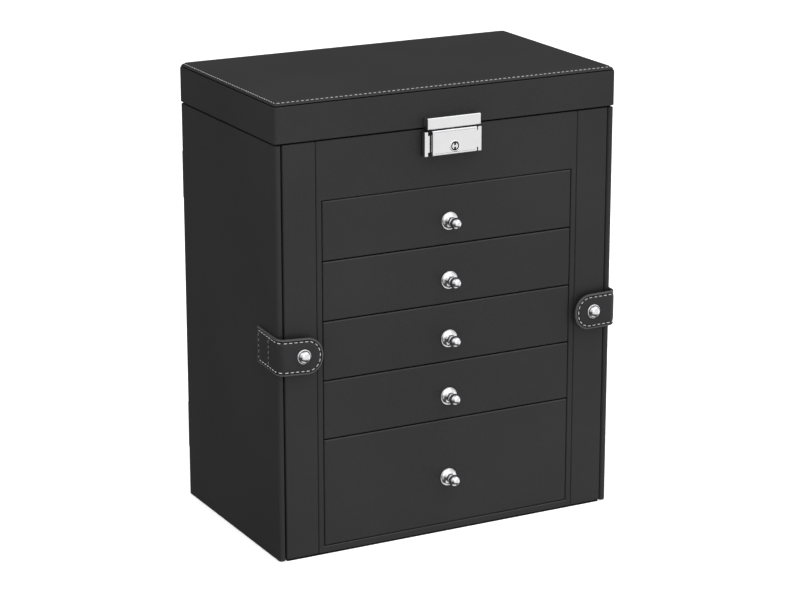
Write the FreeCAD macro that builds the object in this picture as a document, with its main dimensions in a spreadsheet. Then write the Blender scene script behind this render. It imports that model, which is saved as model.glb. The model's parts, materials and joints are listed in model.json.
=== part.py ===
import FreeCAD, Part
import math
import os
import re
import Sketcher

# Leather jewelry box: a case with five drawers, a locking lid with a mirror, and two side
# doors that strap to the front with magnetic snaps.
# Millimetres. X points right, Y to the back and Z up. The origin is the middle of the
# footprint, on the surface that the box stands on.

# Counts
SMALL_DRAWERS = 4
HOOKS = 6
RING_ROLLS = 6

# Driving dimensions
SIZES = {
    # whole box
    "case_width": 280.0,
    "case_depth": 165.0,
    "lid_height": 29.9,
    # heights that stack up to the lid
    "felt_thick": 1.2,
    "base_thick": 5.4,
    "large_pitch": 82.7,
    "small_pitch": 44.9,
    "band_height": 43.8,
    "lid_gap": 1.0,
    # boards of the case
    "front_thick": 6.0,
    "back_thick": 6.0,
    "stile_width": 4.5,
    "pillar_width": 26.2,
    "shelf_thick": 3.0,
    "shelf_setback": 1.0,
    "floor_thick": 3.0,
    "rim_thick": 3.0,
    "rim_rise": 0.7,
    "rim_lip": 5.0,
    "felt_inset": 4.0,
    "edge_round": 0.8,
    # drawers
    "drawer_gap": 0.4,
    "drawer_lift": 0.3,
    "drawer_head": 3.0,
    "drawer_back": 6.0,
    "box_side_gap": 0.6,
    "box_wall": 3.0,
    "box_floor": 2.5,
    "divider_thick": 2.0,
    "divider_height": 24.0,
    # knobs
    "knob_drop": 4.5,
    "flange_radius": 6.75,
    "flange_thick": 1.2,
    "neck_radius": 2.5,
    "ball_radius": 4.4,
    "ball_out": 9.8,
    "dish_radius": 7.0,
    "dish_start": 5.9,
    "stud_radius": 2.0,
    # top tray
    "liner_wall": 2.0,
    "liner_floor": 1.5,
    "liner_gap": 0.3,
    "liner_height": 34.0,
    "ring_bay": 134.0,
    "roll_pitch": 14.6,
    "roll_rise": 22.0,
    "cushion_gap": 0.4,
    # lid
    "lid_overhang": 0.4,
    "lid_wall": 7.0,
    "lid_deck": 4.0,
    "panel_thick": 2.0,
    "panel_inset": 0.9,
    "panel_round": 1.7,
    "lid_round": 2.2,
    "lining_inset": 5.0,
    "lining_thick": 3.0,
    "mirror_width": 196.0,
    "mirror_depth": 112.0,
    "mirror_thick": 2.5,
    # side doors
    "door_thick": 5.3,
    "door_gap": 0.4,
    "door_clear": 0.5,
    "corner_round": 1.6,
    "velvet_thick": 1.2,
    "velvet_inset": 1.0,
    "pocket_height": 62.0,
    "pocket_depth": 12.0,
    "pocket_wall": 1.5,
    "hook_drop": 48.4,
    "rail_length": 118.0,
    "rail_tall": 11.0,
    "rail_thick": 3.5,
    "hook_pitch": 20.0,
    "hook_radius": 1.2,
    "hook_reach": 8.0,
    "hook_tip": 2.1,
    # hinges
    "hinge_gap": 0.3,
    "knuckle_radius": 1.7,
    "pin_radius": 1.0,
    "pin_play": 0.05,
    "leaf_thick": 1.0,
    "leaf_width": 14.0,
    "hinge_length": 36.0,
    "door_hinge_spread": 100.0,
    "lid_hinge_spread": 85.0,
    # straps and their snaps
    "strap_mid": 157.5,
    "strap_height": 27.5,
    "strap_thick": 2.0,
    "strap_standoff": 4.2,
    "strap_bend": 6.0,
    "strap_reach": 34.0,
    "strap_tail": 30.0,
    "strap_tip": 12.5,
    "strap_split": 0.3,
    "snap_inset": 18.2,
    "cap_radius": 5.5,
    "cap_rim": 0.9,
    "cap_dome": 3.4,
    "rivet_radius": 1.5,
    "socket_radius": 5.0,
    "socket_thick": 0.6,
    "snap_gap": 0.3,
    "snap_foot": 0.8,
    "snap_post": 4.2,
    # lock
    "ear_span": 47.0,
    "ear_width": 4.6,
    "ear_height": 18.3,
    "ear_drop": 1.4,
    "ear_reach": 4.6,
    "ear_round": 0.4,
    "notch_width": 1.6,
    "notch_height": 2.8,
    "plate_thick": 1.0,
    "cover_gap": 0.45,
    "cover_drop": 0.5,
    "cover_height": 18.7,
    "cover_reach": 8.0,
    "cover_wall": 1.2,
    "cover_play": 0.3,
    "core_radius": 3.0,
    "core_play": 0.25,
    "core_rise": 6.0,
    "core_length": 5.3,
    "core_proud": 0.15,
    "cam_thick": 1.0,
    "cam_width": 2.0,
    "keyway_width": 1.3,
    "keyway_depth": 2.0,
    "keyway_reach": 2.7,
    "key_post": 0.9,
    "hasp_width": 44.0,
    "hasp_height": 8.6,
    "hasp_reach": 7.0,
    "hasp_drop": 0.7,
    "tongue_width": 12.0,
    "tongue_thick": 1.4,
    "tongue_length": 9.0,
    "tongue_back": 3.1,
    "nose_gap": 0.3,
    "nose_width": 7.0,
    "nose_thick": 1.8,
    "nose_rise": 13.2,
    "window_play": 0.6,
    "spring_side": 11.0,
    "spring_radius": 4.4,
    "spring_thick": 0.4,
    "spring_depth": 3.0,
    "spring_length": 7.4,
    "lug_size": 4.4,
    "lug_thick": 1.0,
    "lug_rise": 2.1,
}

# Places that follow from the sizes
PLACES = {
    "half_width": "case_width / 2",
    "half_depth": "case_depth / 2",
    "door_inner": "half_width - door_thick",
    "case_side": "door_inner - door_gap",
    "frame_side": "case_side - pillar_width",
    "bay_side": "frame_side - stile_width",
    "bay_front": "front_thick - half_depth",
    "bay_back": "half_depth - back_thick",
    "rail_top": "felt_thick + base_thick",
    "band_low": f"rail_top + large_pitch + {SMALL_DRAWERS} * small_pitch",
    "case_top": "band_low + band_height",
    "tray_low": "band_low + floor_thick",
    "rim_top": "case_top + rim_rise",
    "rim_low": "rim_top - rim_thick",
    "lid_low": "case_top + lid_gap",
    "lid_side": "half_width + lid_overhang",
    "lid_front": "-half_depth - lid_overhang",
    "lid_body": "lid_height - panel_thick",
    "lining_low": "lid_low + lining_inset",
    "door_height": "case_top - door_clear",
    "door_mid": "door_clear + door_height / 2",
    "door_depth": "case_depth - hinge_gap",
    "seat": "knuckle_radius + hinge_gap",
    "axis_y": "half_depth + seat",
    "door_axis": "door_inner + seat",
    "lid_axis": "case_top + lid_gap / 2",
    "bend_inner": "strap_bend - strap_thick",
    "bend_x": "half_width - bend_inner",
    "bend_y": "strap_bend - strap_thick - strap_standoff - half_depth",
    "cap_ball": "(cap_radius ^ 2 + cap_dome ^ 2) / (2 * cap_dome)",
    "hook_height": "rim_low - hook_drop",
    "ring_bay_depth": f"{RING_ROLLS} * roll_pitch + 2 * cushion_gap",
    "ear_low": "case_top - ear_drop - ear_height",
    "cover_low": "case_top - cover_drop - cover_height",
    "core_z": "cover_low + core_rise",
    "hasp_low": "lid_low - hasp_drop",
    "tongue_front": "tongue_back + tongue_thick",
    "lug_top": "cover_low + lug_rise + lug_thick",
}

doc = FreeCAD.newDocument("jewelry_box")
sheet = doc.addObject("Spreadsheet::Sheet", "Sizes")
nodes = []


def fill_sheet():
    for row, (alias, value) in enumerate(SIZES.items(), start=1):
        sheet.set(f"A{row}", alias)
        sheet.set(f"B{row}", str(value))
        sheet.setAlias(f"B{row}", alias)
    doc.recompute()


def expand(text):
    """An expression in the sheet's cells, from one in the names of sizes and places."""
    def word(match):
        name = match.group(0)
        if name in PLACES:
            return f"({expand(PLACES[name])})"
        return f"Sizes.{name}" if name in SIZES else name
    return re.sub(r"[a-z][a-z_]*", word, str(text))


def bind(thing, key, text):
    thing.setExpression(key, expand(text))


def value(text):
    return float(sheet.evalExpression(expand(text)))


def put(thing, x="0", y="0", z="0"):
    """Bind the place of a sub-part in the frame of the box."""
    bind(thing, "Placement.Base.x", x)
    bind(thing, "Placement.Base.y", y)
    bind(thing, "Placement.Base.z", z)
    return thing


def turn(thing, axis, degrees):
    thing.Placement = FreeCAD.Placement(FreeCAD.Vector(), FreeCAD.Rotation(FreeCAD.Vector(axis), degrees))
    return thing


def keep(thing, label):
    """List a finished sub-part under the name of its node."""
    thing.Label = label
    nodes.append(thing)
    return thing


def both(half):
    return (f"-({half})", half)


def on_side(side, low, high):
    """A span in X on the right side, or its mirror image on the left."""
    return (low, high) if side == "right" else (f"-({high})", f"-({low})")


def outward(side, distance):
    """A distance to the left or to the right of the middle."""
    return f"-({distance})" if side == "left" else distance


# Part primitives

def block(name, x, y, z):
    box = doc.addObject("Part::Box", name)
    for key, span in zip(("Length", "Width", "Height"), (x, y, z)):
        bind(box, key, f"({span[1]}) - ({span[0]})")
    return put(box, x[0], y[0], z[0])


def rod(name, radius, length, axis=None, degrees=0):
    cylinder = doc.addObject("Part::Cylinder", name)
    bind(cylinder, "Radius", radius)
    bind(cylinder, "Height", length)
    return turn(cylinder, axis, degrees) if axis else cylinder


def fuse(name, shapes):
    joined = doc.addObject("Part::MultiFuse", name)
    joined.Shapes = shapes
    return joined


def less(name, base, tool):
    cut = doc.addObject("Part::Cut", name)
    cut.Base = base
    cut.Tool = tool
    return cut


def group(name, members):
    compound = doc.addObject("Part::Compound", name)
    compound.Links = members
    return compound


# Bodies with sketches

def origin_part(body, role):
    return next(part for part in body.Origin.OriginFeatures if part.Role == role)


def new_body(name):
    return doc.addObject("PartDesign::Body", name)


def rectangle(x, y):
    return [(x[0], y[0]), (x[1], y[0]), (x[1], y[1]), (x[0], y[1])]


def draw_circle(sketch, x, y, radius):
    centre = FreeCAD.Vector(value(x), value(y), 0)
    index = sketch.addGeometry(Part.Circle(centre, FreeCAD.Vector(0, 0, 1), value(radius)), False)
    fix_point(sketch, index, 3, x, y)
    fix_radius(sketch, index, radius)


def fix_point(sketch, index, point, x, y):
    for kind, text in (("DistanceX", x), ("DistanceY", y)):
        number = sketch.addConstraint(Sketcher.Constraint(kind, -1, 1, index, point, value(text)))
        bind(sketch, f"Constraints[{number}]", text)


def fix_radius(sketch, index, radius):
    number = sketch.addConstraint(Sketcher.Constraint("Radius", index, value(radius)))
    bind(sketch, f"Constraints[{number}]", radius)


def arc_between(start, end, radius, left):
    """Minor arc from start to end, with its centre on the left or the right of the way."""
    chord = end - start
    rise = math.sqrt(max(radius ** 2 - chord.Length ** 2 / 4, 0))
    across = FreeCAD.Vector(-chord.y, chord.x, 0) / chord.Length * (rise if left else -rise)
    centre = (start + end) / 2 + across
    first, last = (start, end) if left else (end, start)
    begin = math.atan2(first.y - centre.y, first.x - centre.x)
    finish = math.atan2(last.y - centre.y, last.x - centre.x)
    if finish < begin:
        finish += 2 * math.pi
    return Part.ArcOfCircle(Part.Circle(centre, FreeCAD.Vector(0, 0, 1), radius), begin, finish)


def draw_loop(sketch, corners):
    """Closed loop. A corner is (x, y), or (x, y, radius, left) where an arc leaves it."""
    points = [FreeCAD.Vector(value(corner[0]), value(corner[1]), 0) for corner in corners]
    ends = []
    for number, corner in enumerate(corners):
        start = points[number]
        end = points[(number + 1) % len(points)]
        if len(corner) == 2:
            index = sketch.addGeometry(Part.LineSegment(start, end), False)
            ends.append((index, 1, 2))
        else:
            arc = arc_between(start, end, value(corner[2]), corner[3])
            index = sketch.addGeometry(arc, False)
            ends.append((index, 1, 2) if corner[3] else (index, 2, 1))
            fix_radius(sketch, index, corner[2])
    for number, corner in enumerate(corners):
        index, first, last = ends[number]
        after, start, _ = ends[(number + 1) % len(ends)]
        sketch.addConstraint(Sketcher.Constraint("Coincident", index, last, after, start))
        fix_point(sketch, index, first, corner[0], corner[1])


def draw(body, role, loops, lift="0"):
    """Sketch of closed loops on one of the body's own planes, lifted along its normal."""
    sketch = body.newObject("Sketcher::SketchObject", f"{body.Name}_sketch")
    sketch.AttachmentSupport = [(origin_part(body, role), "")]
    sketch.MapMode = "FlatFace"
    bind(sketch, "AttachmentOffset.Base.z", lift)
    for loop in loops:
        if loop[0] == "circle":
            draw_circle(sketch, *loop[1:])
        else:
            draw_loop(sketch, loop)
    return sketch


def pad(body, role, loops, length, lift="0", away=False):
    feature = body.newObject("PartDesign::Pad", f"{body.Name}_pad")
    feature.Profile = draw(body, role, loops, lift)
    feature.Reversed = away
    bind(feature, "Length", length)
    doc.recompute()
    return feature


def pocket(body, role, loops, length, lift="0", away=False):
    """Cut against the plane's normal, or along it when away is set."""
    volume = body.Shape.Volume
    feature = body.newObject("PartDesign::Pocket", f"{body.Name}_pocket")
    feature.Profile = draw(body, role, loops, lift)
    feature.Reversed = away
    bind(feature, "Length", length)
    doc.recompute()
    if body.Shape.Volume > volume - 0.01:
        raise ValueError(f"{feature.Name} cuts nothing")
    return feature


def revolve(body, corners):
    """Solid of revolution about the body's Y axis. X is the radius."""
    feature = body.newObject("PartDesign::Revolution", f"{body.Name}_turned")
    feature.Profile = draw(body, "XY_Plane", [corners])
    feature.ReferenceAxis = (origin_part(body, "Y_Axis"), [""])
    feature.Angle = 360
    doc.recompute()
    return feature


def edges_where(feature, test):
    """Names of the edges whose bounding box passes a test."""
    found = []
    for number, edge in enumerate(feature.Shape.Edges, start=1):
        if test(edge.BoundBox):
            found.append(f"Edge{number}")
    return found


def fillet(body, radius, test):
    base = body.Tip
    feature = body.newObject("PartDesign::Fillet", f"{body.Name}_fillet")
    feature.Base = (base, edges_where(base, test))
    bind(feature, "Radius", radius)
    doc.recompute()
    return feature


# Boards of the case

def hidden_boards():
    felt_x = both("case_side - felt_inset")
    felt_y = both("half_depth - felt_inset")
    keep(block("felt", felt_x, felt_y, ("0", "felt_thick")), "base_felt")
    inside = ("bay_front", "bay_back")
    keep(block("base", both("case_side"), inside, ("felt_thick", "rail_top")), "base_board")
    back = ("bay_back", "half_depth")
    keep(block("back", both("case_side"), back, ("felt_thick", "case_top")), "back_board")
    for side in ("left", "right"):
        across = on_side(side, "bay_side", "frame_side")
        board = block(f"{side}_wall", across, inside, ("rail_top", "rim_low"))
        keep(board, f"{side}_partition")
    keep(block("deck", both("bay_side"), inside, ("band_low", "tray_low")), "tray_floor")


def drawer_line(number):
    """Height of the line under a drawer, counted from 1 at the top."""
    return f"band_low - {number} * small_pitch"


def drawer_shelves():
    depth = ("bay_front + shelf_setback", "bay_back")
    for number in range(1, SMALL_DRAWERS + 1):
        line = drawer_line(number)
        tall = (f"{line} - shelf_thick / 2", f"{line} + shelf_thick / 2")
        shelf = block(f"shelf_{number}", both("bay_side"), depth, tall)
        keep(shelf, f"drawer_shelf_{number}")


def front_board(name, half, height):
    """Upright board, its bottom middle and back face at the body's origin."""
    body = new_body(name)
    pad(body, "XZ_Plane", [rectangle(both(half), ("0", height))], "front_thick")
    return body


def round_front(body, radius="edge_round"):
    face = -value("front_thick")
    fillet(body, radius, lambda box: box.YMax < face + 0.001)


def pillars():
    for side in ("left", "right"):
        body = front_board(f"{side}_front", "pillar_width / 2", "case_top - felt_thick")
        round_front(body)
        put(body, outward(side, "case_side - pillar_width / 2"), "bay_front", "felt_thick")
        keep(body, f"{side}_pillar")


def front_frame():
    body = front_board("frame", "frame_side", "case_top - felt_thick")
    window = rectangle(both("bay_side"), ("base_thick", "band_low - felt_thick"))
    pocket(body, "XZ_Plane", [window], "front_thick", lift="front_thick")
    round_front(body)
    put(body, "0", "bay_front", "felt_thick")
    keep(body, "front_frame")


def tray_rim():
    body = new_body("rim")
    outer = rectangle(both("case_side"), ("bay_front", "bay_back"))
    lip = ("bay_front + rim_lip", "bay_back - rim_lip")
    pad(body, "XY_Plane", [outer, rectangle(both("bay_side"), lip)], "rim_thick")
    put(body, z="rim_low")
    keep(body, "tray_rim")


# Top tray

def tray_liner():
    """Insert with three front compartments, a bay for the ring rolls and one more."""
    body = new_body("liner")
    wide = "bay_side - liner_gap"
    near = "bay_front + liner_gap"
    far = "bay_back - liner_gap"
    pad(body, "XY_Plane", [rectangle(both(wide), (near, far))], "liner_height")
    inner = f"({wide} - liner_wall)"
    third = f"(({inner} * 2 - 2 * divider_thick) / 3)"
    rear = (f"{far} - liner_wall - ring_bay_depth", f"{far} - liner_wall")
    front = (f"{near} + liner_wall", f"{rear[0]} - divider_thick")
    loops = []
    for number in range(3):
        left = f"-{inner} + {number} * ({third} + divider_thick)"
        loops.append(rectangle((left, f"{left} + {third}"), front))
    loops.append(rectangle((f"-{inner}", f"ring_bay - {inner}"), rear))
    loops.append(rectangle((f"ring_bay + divider_thick - {inner}", inner), rear))
    pocket(body, "XY_Plane", loops, "liner_height - liner_floor", lift="liner_height")
    put(body, z="tray_low")
    keep(body, "tray_liner")


def ring_cushion():
    """Soft rolls side by side on a low base; rings stand in the slits between them."""
    inner = "(bay_side - liner_gap - liner_wall)"
    left = f"cushion_gap - {inner}"
    right = f"ring_bay - cushion_gap - {inner}"
    low = "tray_low + liner_floor"
    back = "bay_back - liner_gap - liner_wall - cushion_gap"
    axis_height = f"{low} + roll_rise - roll_pitch / 2"
    front = f"{back} - {RING_ROLLS} * roll_pitch"
    shapes = [block("cushion_base", (left, right), (front, back), (low, axis_height))]
    for number in range(RING_ROLLS):
        roll = rod(f"roll_{number}", "roll_pitch / 2", f"({right}) - ({left})", (0, 1, 0), 90)
        put(roll, left, f"{back} - ({number} + 0.5) * roll_pitch", axis_height)
        shapes.append(roll)
    keep(fuse("cushion", shapes), "ring_cushion")


# Hinges

def hinge_leaf(name, moving):
    """Leaf along +X from its pin, which is the Z axis. The moving leaf has the middle
    knuckle and the fixed leaf the two outer ones."""
    plate = ("-seat", "leaf_thick - seat")
    split = "hinge_length / 4"
    gap = "hinge_gap / 2"
    if moving:
        zones = [(f"{gap} - {split}", f"{split} - {gap}")]
    else:
        zones = [("-hinge_length / 2", f"-{split} - {gap}"), (f"{split} + {gap}", "hinge_length / 2")]
    shapes = [block(f"{name}_plate", ("seat + hinge_gap", "leaf_width"), plate, both("hinge_length / 2"))]
    for number, zone in enumerate(zones):
        shapes.append(block(f"{name}_tab_{number}", ("0", "seat + hinge_gap"), plate, zone))
        knuckle = rod(f"{name}_knuckle_{number}", "knuckle_radius", f"({zone[1]}) - ({zone[0]})")
        shapes.append(put(knuckle, z=zone[0]))
    bore = put(rod(f"{name}_bore", "pin_radius + pin_play", "hinge_length"), z="-hinge_length / 2")
    return less(name, fuse(f"{name}_blank", shapes), bore)


def aim(thing, along, across):
    """Turn a leaf so that its plate runs along one direction, with its pin across."""
    along = FreeCAD.Vector(along)
    across = FreeCAD.Vector(across)
    rotation = FreeCAD.Rotation(along, across, along.cross(across), "ZXY")
    thing.Placement = FreeCAD.Placement(FreeCAD.Vector(), rotation)
    return thing


def hinges():
    """Two hinges under the lid and two behind each door, with pins of one size."""
    fixed = []
    pins = []
    lid_leaves = []
    for number, end in enumerate(both("lid_hinge_spread")):
        place = (end, "axis_y", "lid_axis")
        fixed.append(put(aim(hinge_leaf(f"lid_fixed_{number}", False), (0, 0, -1), (0, 1, 0)), *place))
        lid_leaves.append(put(aim(hinge_leaf(f"lid_moving_{number}", True), (0, 0, 1), (0, 1, 0)), *place))
        pin = rod(f"lid_pin_{number}", "pin_radius", "hinge_length", (0, 1, 0), 90)
        pins.append(put(pin, f"{end} - hinge_length / 2", "axis_y", "lid_axis"))
    for side, inward in (("left", 1), ("right", -1)):
        x = f"{-inward} * door_axis"
        leaves = []
        for number, end in enumerate(both("door_hinge_spread")):
            place = (x, "axis_y", f"door_mid + {end}")
            leaf = aim(hinge_leaf(f"{side}_fixed_{number}", False), (inward, 0, 0), (0, 1, 0))
            fixed.append(put(leaf, *place))
            leaf = aim(hinge_leaf(f"{side}_moving_{number}", True), (0, -1, 0), (-inward, 0, 0))
            leaves.append(put(leaf, *place))
            pin = rod(f"{side}_pin_{number}", "pin_radius", "hinge_length")
            pins.append(put(pin, x, "axis_y", f"door_mid + {end} - hinge_length / 2"))
        keep(group(f"{side}_leaves", leaves), f"{side}_door_hinge_leaves")
    keep(group("fixed_leaves", fixed), "case_hinge_leaves")
    keep(group("pins", pins), "hinge_pins")
    keep(group("lid_leaves", lid_leaves), "lid_hinge_leaves")


# Lid

def lid_frame():
    """Hollow box of the lid, open below."""
    body = new_body("lid")
    pad(body, "XY_Plane", [rectangle(both("lid_side"), ("lid_front", "half_depth"))], "lid_body")
    inner = rectangle(both("lid_side - lid_wall"), ("lid_front + lid_wall", "half_depth - lid_wall"))
    pocket(body, "XY_Plane", [inner], "lid_body - lid_deck", away=True)
    top = value("lid_body")
    side = value("lid_side")
    wall = value("lid_wall") / 2
    fillet(body, "corner_round", lambda box: box.ZLength > top - 0.01 and abs(box.XMin) > side - 0.01)
    fillet(body, "lid_round", lambda box: box.ZMin > top - 0.001)
    fillet(body, "edge_round", lambda box: box.ZMax < 0.001 and max(-box.XMin, box.XMax) > side - wall)
    put(body, z="lid_low")
    keep(body, "lid_frame")


def lid_panel():
    """Padded panel on the lid, its rounded edge set back behind the seam."""
    body = new_body("panel")
    sides = both("lid_side - panel_inset")
    depth = ("lid_front + panel_inset", "half_depth - panel_inset")
    pad(body, "XY_Plane", [rectangle(sides, depth)], "panel_thick")
    top = value("panel_thick")
    fillet(body, "corner_round", lambda box: box.ZLength > top - 0.001)
    fillet(body, "panel_round", lambda box: box.ZMin > top - 0.001)
    put(body, z="lid_low + lid_body")
    keep(body, "lid_panel")


def lid_inside():
    depth = ("lid_front + lid_wall", "half_depth - lid_wall")
    tall = ("lining_low", "lining_low + lining_thick")
    keep(block("lining", both("lid_side - lid_wall"), depth, tall), "lid_lining")
    glass = ("lining_low - mirror_thick", "lining_low")
    keep(block("mirror", both("mirror_width / 2"), both("mirror_depth / 2"), glass), "lid_mirror")


def hasp_plate():
    """Bare plate on the lid. Its tongue goes down into the lock."""
    body = new_body("hasp")
    face = [rectangle(both("hasp_width / 2"), ("0", "hasp_height"))]
    pad(body, "XZ_Plane", face, "hasp_reach - lid_overhang")
    depth = value("hasp_reach - lid_overhang")
    fillet(body, "edge_round", lambda box: box.YMax < 0.001 - depth)
    tongue = [rectangle(both("tongue_width / 2"), ("-tongue_length", "edge_round"))]
    pad(body, "XZ_Plane", tongue, "tongue_thick", lift="tongue_back - lid_overhang")
    middle = "cover_low + nose_rise - hasp_low"
    reach = "nose_thick / 2 + window_play"
    across = both("nose_width / 2 + window_play")
    window = rectangle(across, (f"{middle} - {reach}", f"{middle} + {reach}"))
    pocket(body, "XZ_Plane", [window], "tongue_thick", lift="tongue_front - lid_overhang")
    put(body, "0", "lid_front", "hasp_low")
    keep(body, "hasp_plate")


# Lock

def lock_plate():
    """Fixed half of the lock: back plate, two notched ears and the lug of the spring."""
    body = new_body("lock")
    plate = rectangle(both("ear_span / 2"), ("0", "ear_height"))
    pad(body, "XZ_Plane", [plate], "plate_thick")
    loops = []
    for sign in ("", "-"):
        outer = f"{sign}(ear_span / 2)"
        step = f"{sign}(ear_span / 2 - ear_width + notch_width)"
        inner = f"{sign}(ear_span / 2 - ear_width)"
        low = "notch_height"
        high = "ear_height - notch_height"
        loops.append([(outer, "0"), (outer, "ear_height"), (step, "ear_height"), (step, high),
                      (inner, high), (inner, low), (step, low), (step, "0")])
    pad(body, "XZ_Plane", loops, "ear_reach - plate_thick", lift="plate_thick")
    face = value("ear_reach")
    fillet(body, "ear_round", lambda box: box.YMax < 0.001 - face)
    top = "lug_top - ear_low"
    across = ("spring_side - lug_size / 2", "spring_side + lug_size / 2")
    lug = rectangle(across, (f"{top} - lug_thick", top))
    pad(body, "XZ_Plane", [lug], "lug_size", lift="plate_thick")
    put(body, "0", "-half_depth", "ear_low")
    keep(body, "lock_plate")


def lock_cover():
    """Sliding cover: a shallow box, open at the back and the top, that the tongue drops into."""
    body = new_body("cover")
    depth = "cover_reach - plate_thick - cover_play"
    half = "ear_span / 2 - ear_width - cover_gap"
    pad(body, "XZ_Plane", [rectangle(both(half), ("0", "cover_height"))], depth)
    hollow = rectangle(both(f"{half} - cover_wall"), ("cover_wall", "cover_height"))
    pocket(body, "XZ_Plane", [hollow], f"{depth} - cover_wall", lift=f"{depth} - cover_wall")
    inside = f"{depth} - cover_wall"
    nose = rectangle(both("nose_width / 2"), ("nose_rise - nose_thick / 2", "nose_rise + nose_thick / 2"))
    reach = "cover_reach - cover_wall - tongue_front - nose_gap"
    pad(body, "XZ_Plane", [nose], reach, lift=inside, away=True)
    ledge_low = "lug_top + spring_length - cover_low"
    ledge = rectangle(("spring_side - lug_size / 2", "spring_side + lug_size / 2"),
                      (ledge_low, f"{ledge_low} + lug_thick"))
    pad(body, "XZ_Plane", [ledge], "lug_size", lift=inside, away=True)
    hole = ("circle", "0", "core_rise", "core_radius + core_play")
    pocket(body, "XZ_Plane", [hole], "cover_wall", lift=depth)
    face = value(depth)
    tall = value("cover_height")
    fillet(body, "edge_round",
           lambda box: box.YMax < 0.001 - face and max(box.XLength, box.ZLength) > tall / 2)
    put(body, "0", "-half_depth - plate_thick - cover_play", "cover_low")
    keep(body, "lock_cover")


def lock_cylinder():
    """Key cylinder with a cam behind it. The keyway is two slots about a centre post."""
    body = new_body("core")
    pad(body, "XZ_Plane", [("circle", "0", "0", "core_radius")], "core_length")
    cam = rectangle(both("cam_width / 2"), ("-core_radius", "core_radius"))
    pad(body, "XZ_Plane", [cam], "cam_thick", away=True)
    slots = []
    for low, high in (("key_post", "keyway_reach"), ("-keyway_reach", "-key_post")):
        slots.append(rectangle(both("keyway_width / 2"), (low, high)))
    pocket(body, "XZ_Plane", slots, "keyway_depth", lift="core_length")
    put(body, "0", "core_length - core_proud - half_depth - cover_reach", "core_z")
    keep(body, "lock_cylinder")


def lock_spring():
    """Bowed leaf spring that pushes the cover up, between the lug and the cover's ledge."""
    body = new_body("spring")
    root = "(spring_length / 2) ^ 2"
    inner_radius = "spring_radius - spring_thick"
    outer = f"-sqrt(spring_radius ^ 2 - {root})"
    inner = f"-sqrt(({inner_radius}) ^ 2 - {root})"
    pad(body, "XZ_Plane", [[
        (outer, "0"),
        (inner, "0", inner_radius, False),
        (inner, "spring_length"),
        (outer, "spring_length", "spring_radius", True),
    ]], "spring_depth")
    x = f"spring_side + (spring_radius - ({inner})) / 2"
    put(body, x, "(spring_depth - lug_size) / 2 - plate_thick - half_depth", "lug_top")
    keep(body, "lock_spring")


# Drawers

def drawer_heights(number):
    """Low and high line of a drawer, counted from 1 at the top. The last one is the large one."""
    if number > SMALL_DRAWERS:
        return ("rail_top", drawer_line(SMALL_DRAWERS))
    return (drawer_line(number), drawer_line(number - 1))


def knob_height(number):
    low, high = drawer_heights(number)
    return f"({low} + {high}) / 2 - knob_drop"


def drawer_front(number):
    low, high = drawer_heights(number)
    body = front_board(f"face_{number}", "bay_side - drawer_gap", f"{high} - ({low}) - 2 * drawer_gap")
    bottom = f"{low} + drawer_gap"
    hole = ("circle", "0", f"{knob_height(number)} - ({bottom})", "stud_radius + pin_play")
    pocket(body, "XZ_Plane", [hole], "front_thick", lift="front_thick")
    face = -value("front_thick")
    shortest = value("knob_drop")
    fillet(body, "edge_round",
           lambda box: box.YMax < face + 0.001 and max(box.XLength, box.ZLength) > 2 * shortest)
    put(body, "0", "bay_front", bottom)
    keep(body, f"drawer_{number}_front")


def drawer_floor(number):
    """Underside of a drawer's box, just above the board that it runs on."""
    low, _ = drawer_heights(number)
    board = "0" if number > SMALL_DRAWERS else "shelf_thick / 2"
    return f"{low} + {board} + drawer_lift"


def drawer_box(number):
    _, high = drawer_heights(number)
    above = "0" if number == 1 else "shelf_thick / 2"
    height = f"{high} - {above} - drawer_head - ({drawer_floor(number)})"
    body = new_body(f"box_{number}")
    wide = "bay_side - box_side_gap"
    far = "bay_back - drawer_back"
    pad(body, "XY_Plane", [rectangle(both(wide), ("bay_front", far))], height)
    inner = rectangle(both(f"{wide} - box_wall"), ("bay_front + box_wall", f"{far} - box_wall"))
    pocket(body, "XY_Plane", [inner], f"{height} - box_floor", lift=height)
    put(body, z=drawer_floor(number))
    keep(body, f"drawer_{number}_box")


def drawer_knob(number):
    """Ball on a dished neck and a round flange, with a stud through the drawer front."""
    body = new_body(f"knob_{number}")
    neck_out = "-(ball_out - sqrt(ball_radius ^ 2 - neck_radius ^ 2))"
    revolve(body, [
        ("0", "front_thick"),
        ("0", "-ball_out - ball_radius", "ball_radius", True),
        ("neck_radius", neck_out, "dish_radius", False),
        ("dish_start", "-flange_thick"),
        ("flange_radius", "-flange_thick"),
        ("flange_radius", "0"),
        ("stud_radius", "0"),
        ("stud_radius", "front_thick"),
    ])
    put(body, "0", "-half_depth", knob_height(number))
    keep(body, f"drawer_{number}_knob")


def drawer_divider(number, cross):
    """Crossed boards that stand in a drawer. Two run to the back, and one crosses all of them
    or only the middle."""
    inner = "(bay_side - box_side_gap - box_wall - liner_gap)"
    near = "bay_front + box_wall + liner_gap"
    far = "bay_back - drawer_back - box_wall - liner_gap"
    middle = f"({near} + {far}) / 2"
    low = f"{drawer_floor(number)} + box_floor"
    tall = (low, f"{low} + divider_height")
    third = f"({inner} / 3)"
    half = "divider_thick / 2"
    shapes = []
    for index, place in enumerate((f"-{third}", third)):
        span = (f"{place} - {half}", f"{place} + {half}")
        shapes.append(block(f"long_{number}_{index}", span, (near, far), tall))
    depth = (f"{middle} - {half}", f"{middle} + {half}")
    shapes.append(block(f"cross_{number}", both(inner if cross == "all" else third), depth, tall))
    keep(fuse(f"divider_{number}", shapes), f"drawer_{number}_divider")


def drawers():
    for number in range(1, SMALL_DRAWERS + 2):
        drawer_front(number)
        drawer_box(number)
        drawer_knob(number)
    drawer_divider(1, "all")
    drawer_divider(2, "middle")


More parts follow.
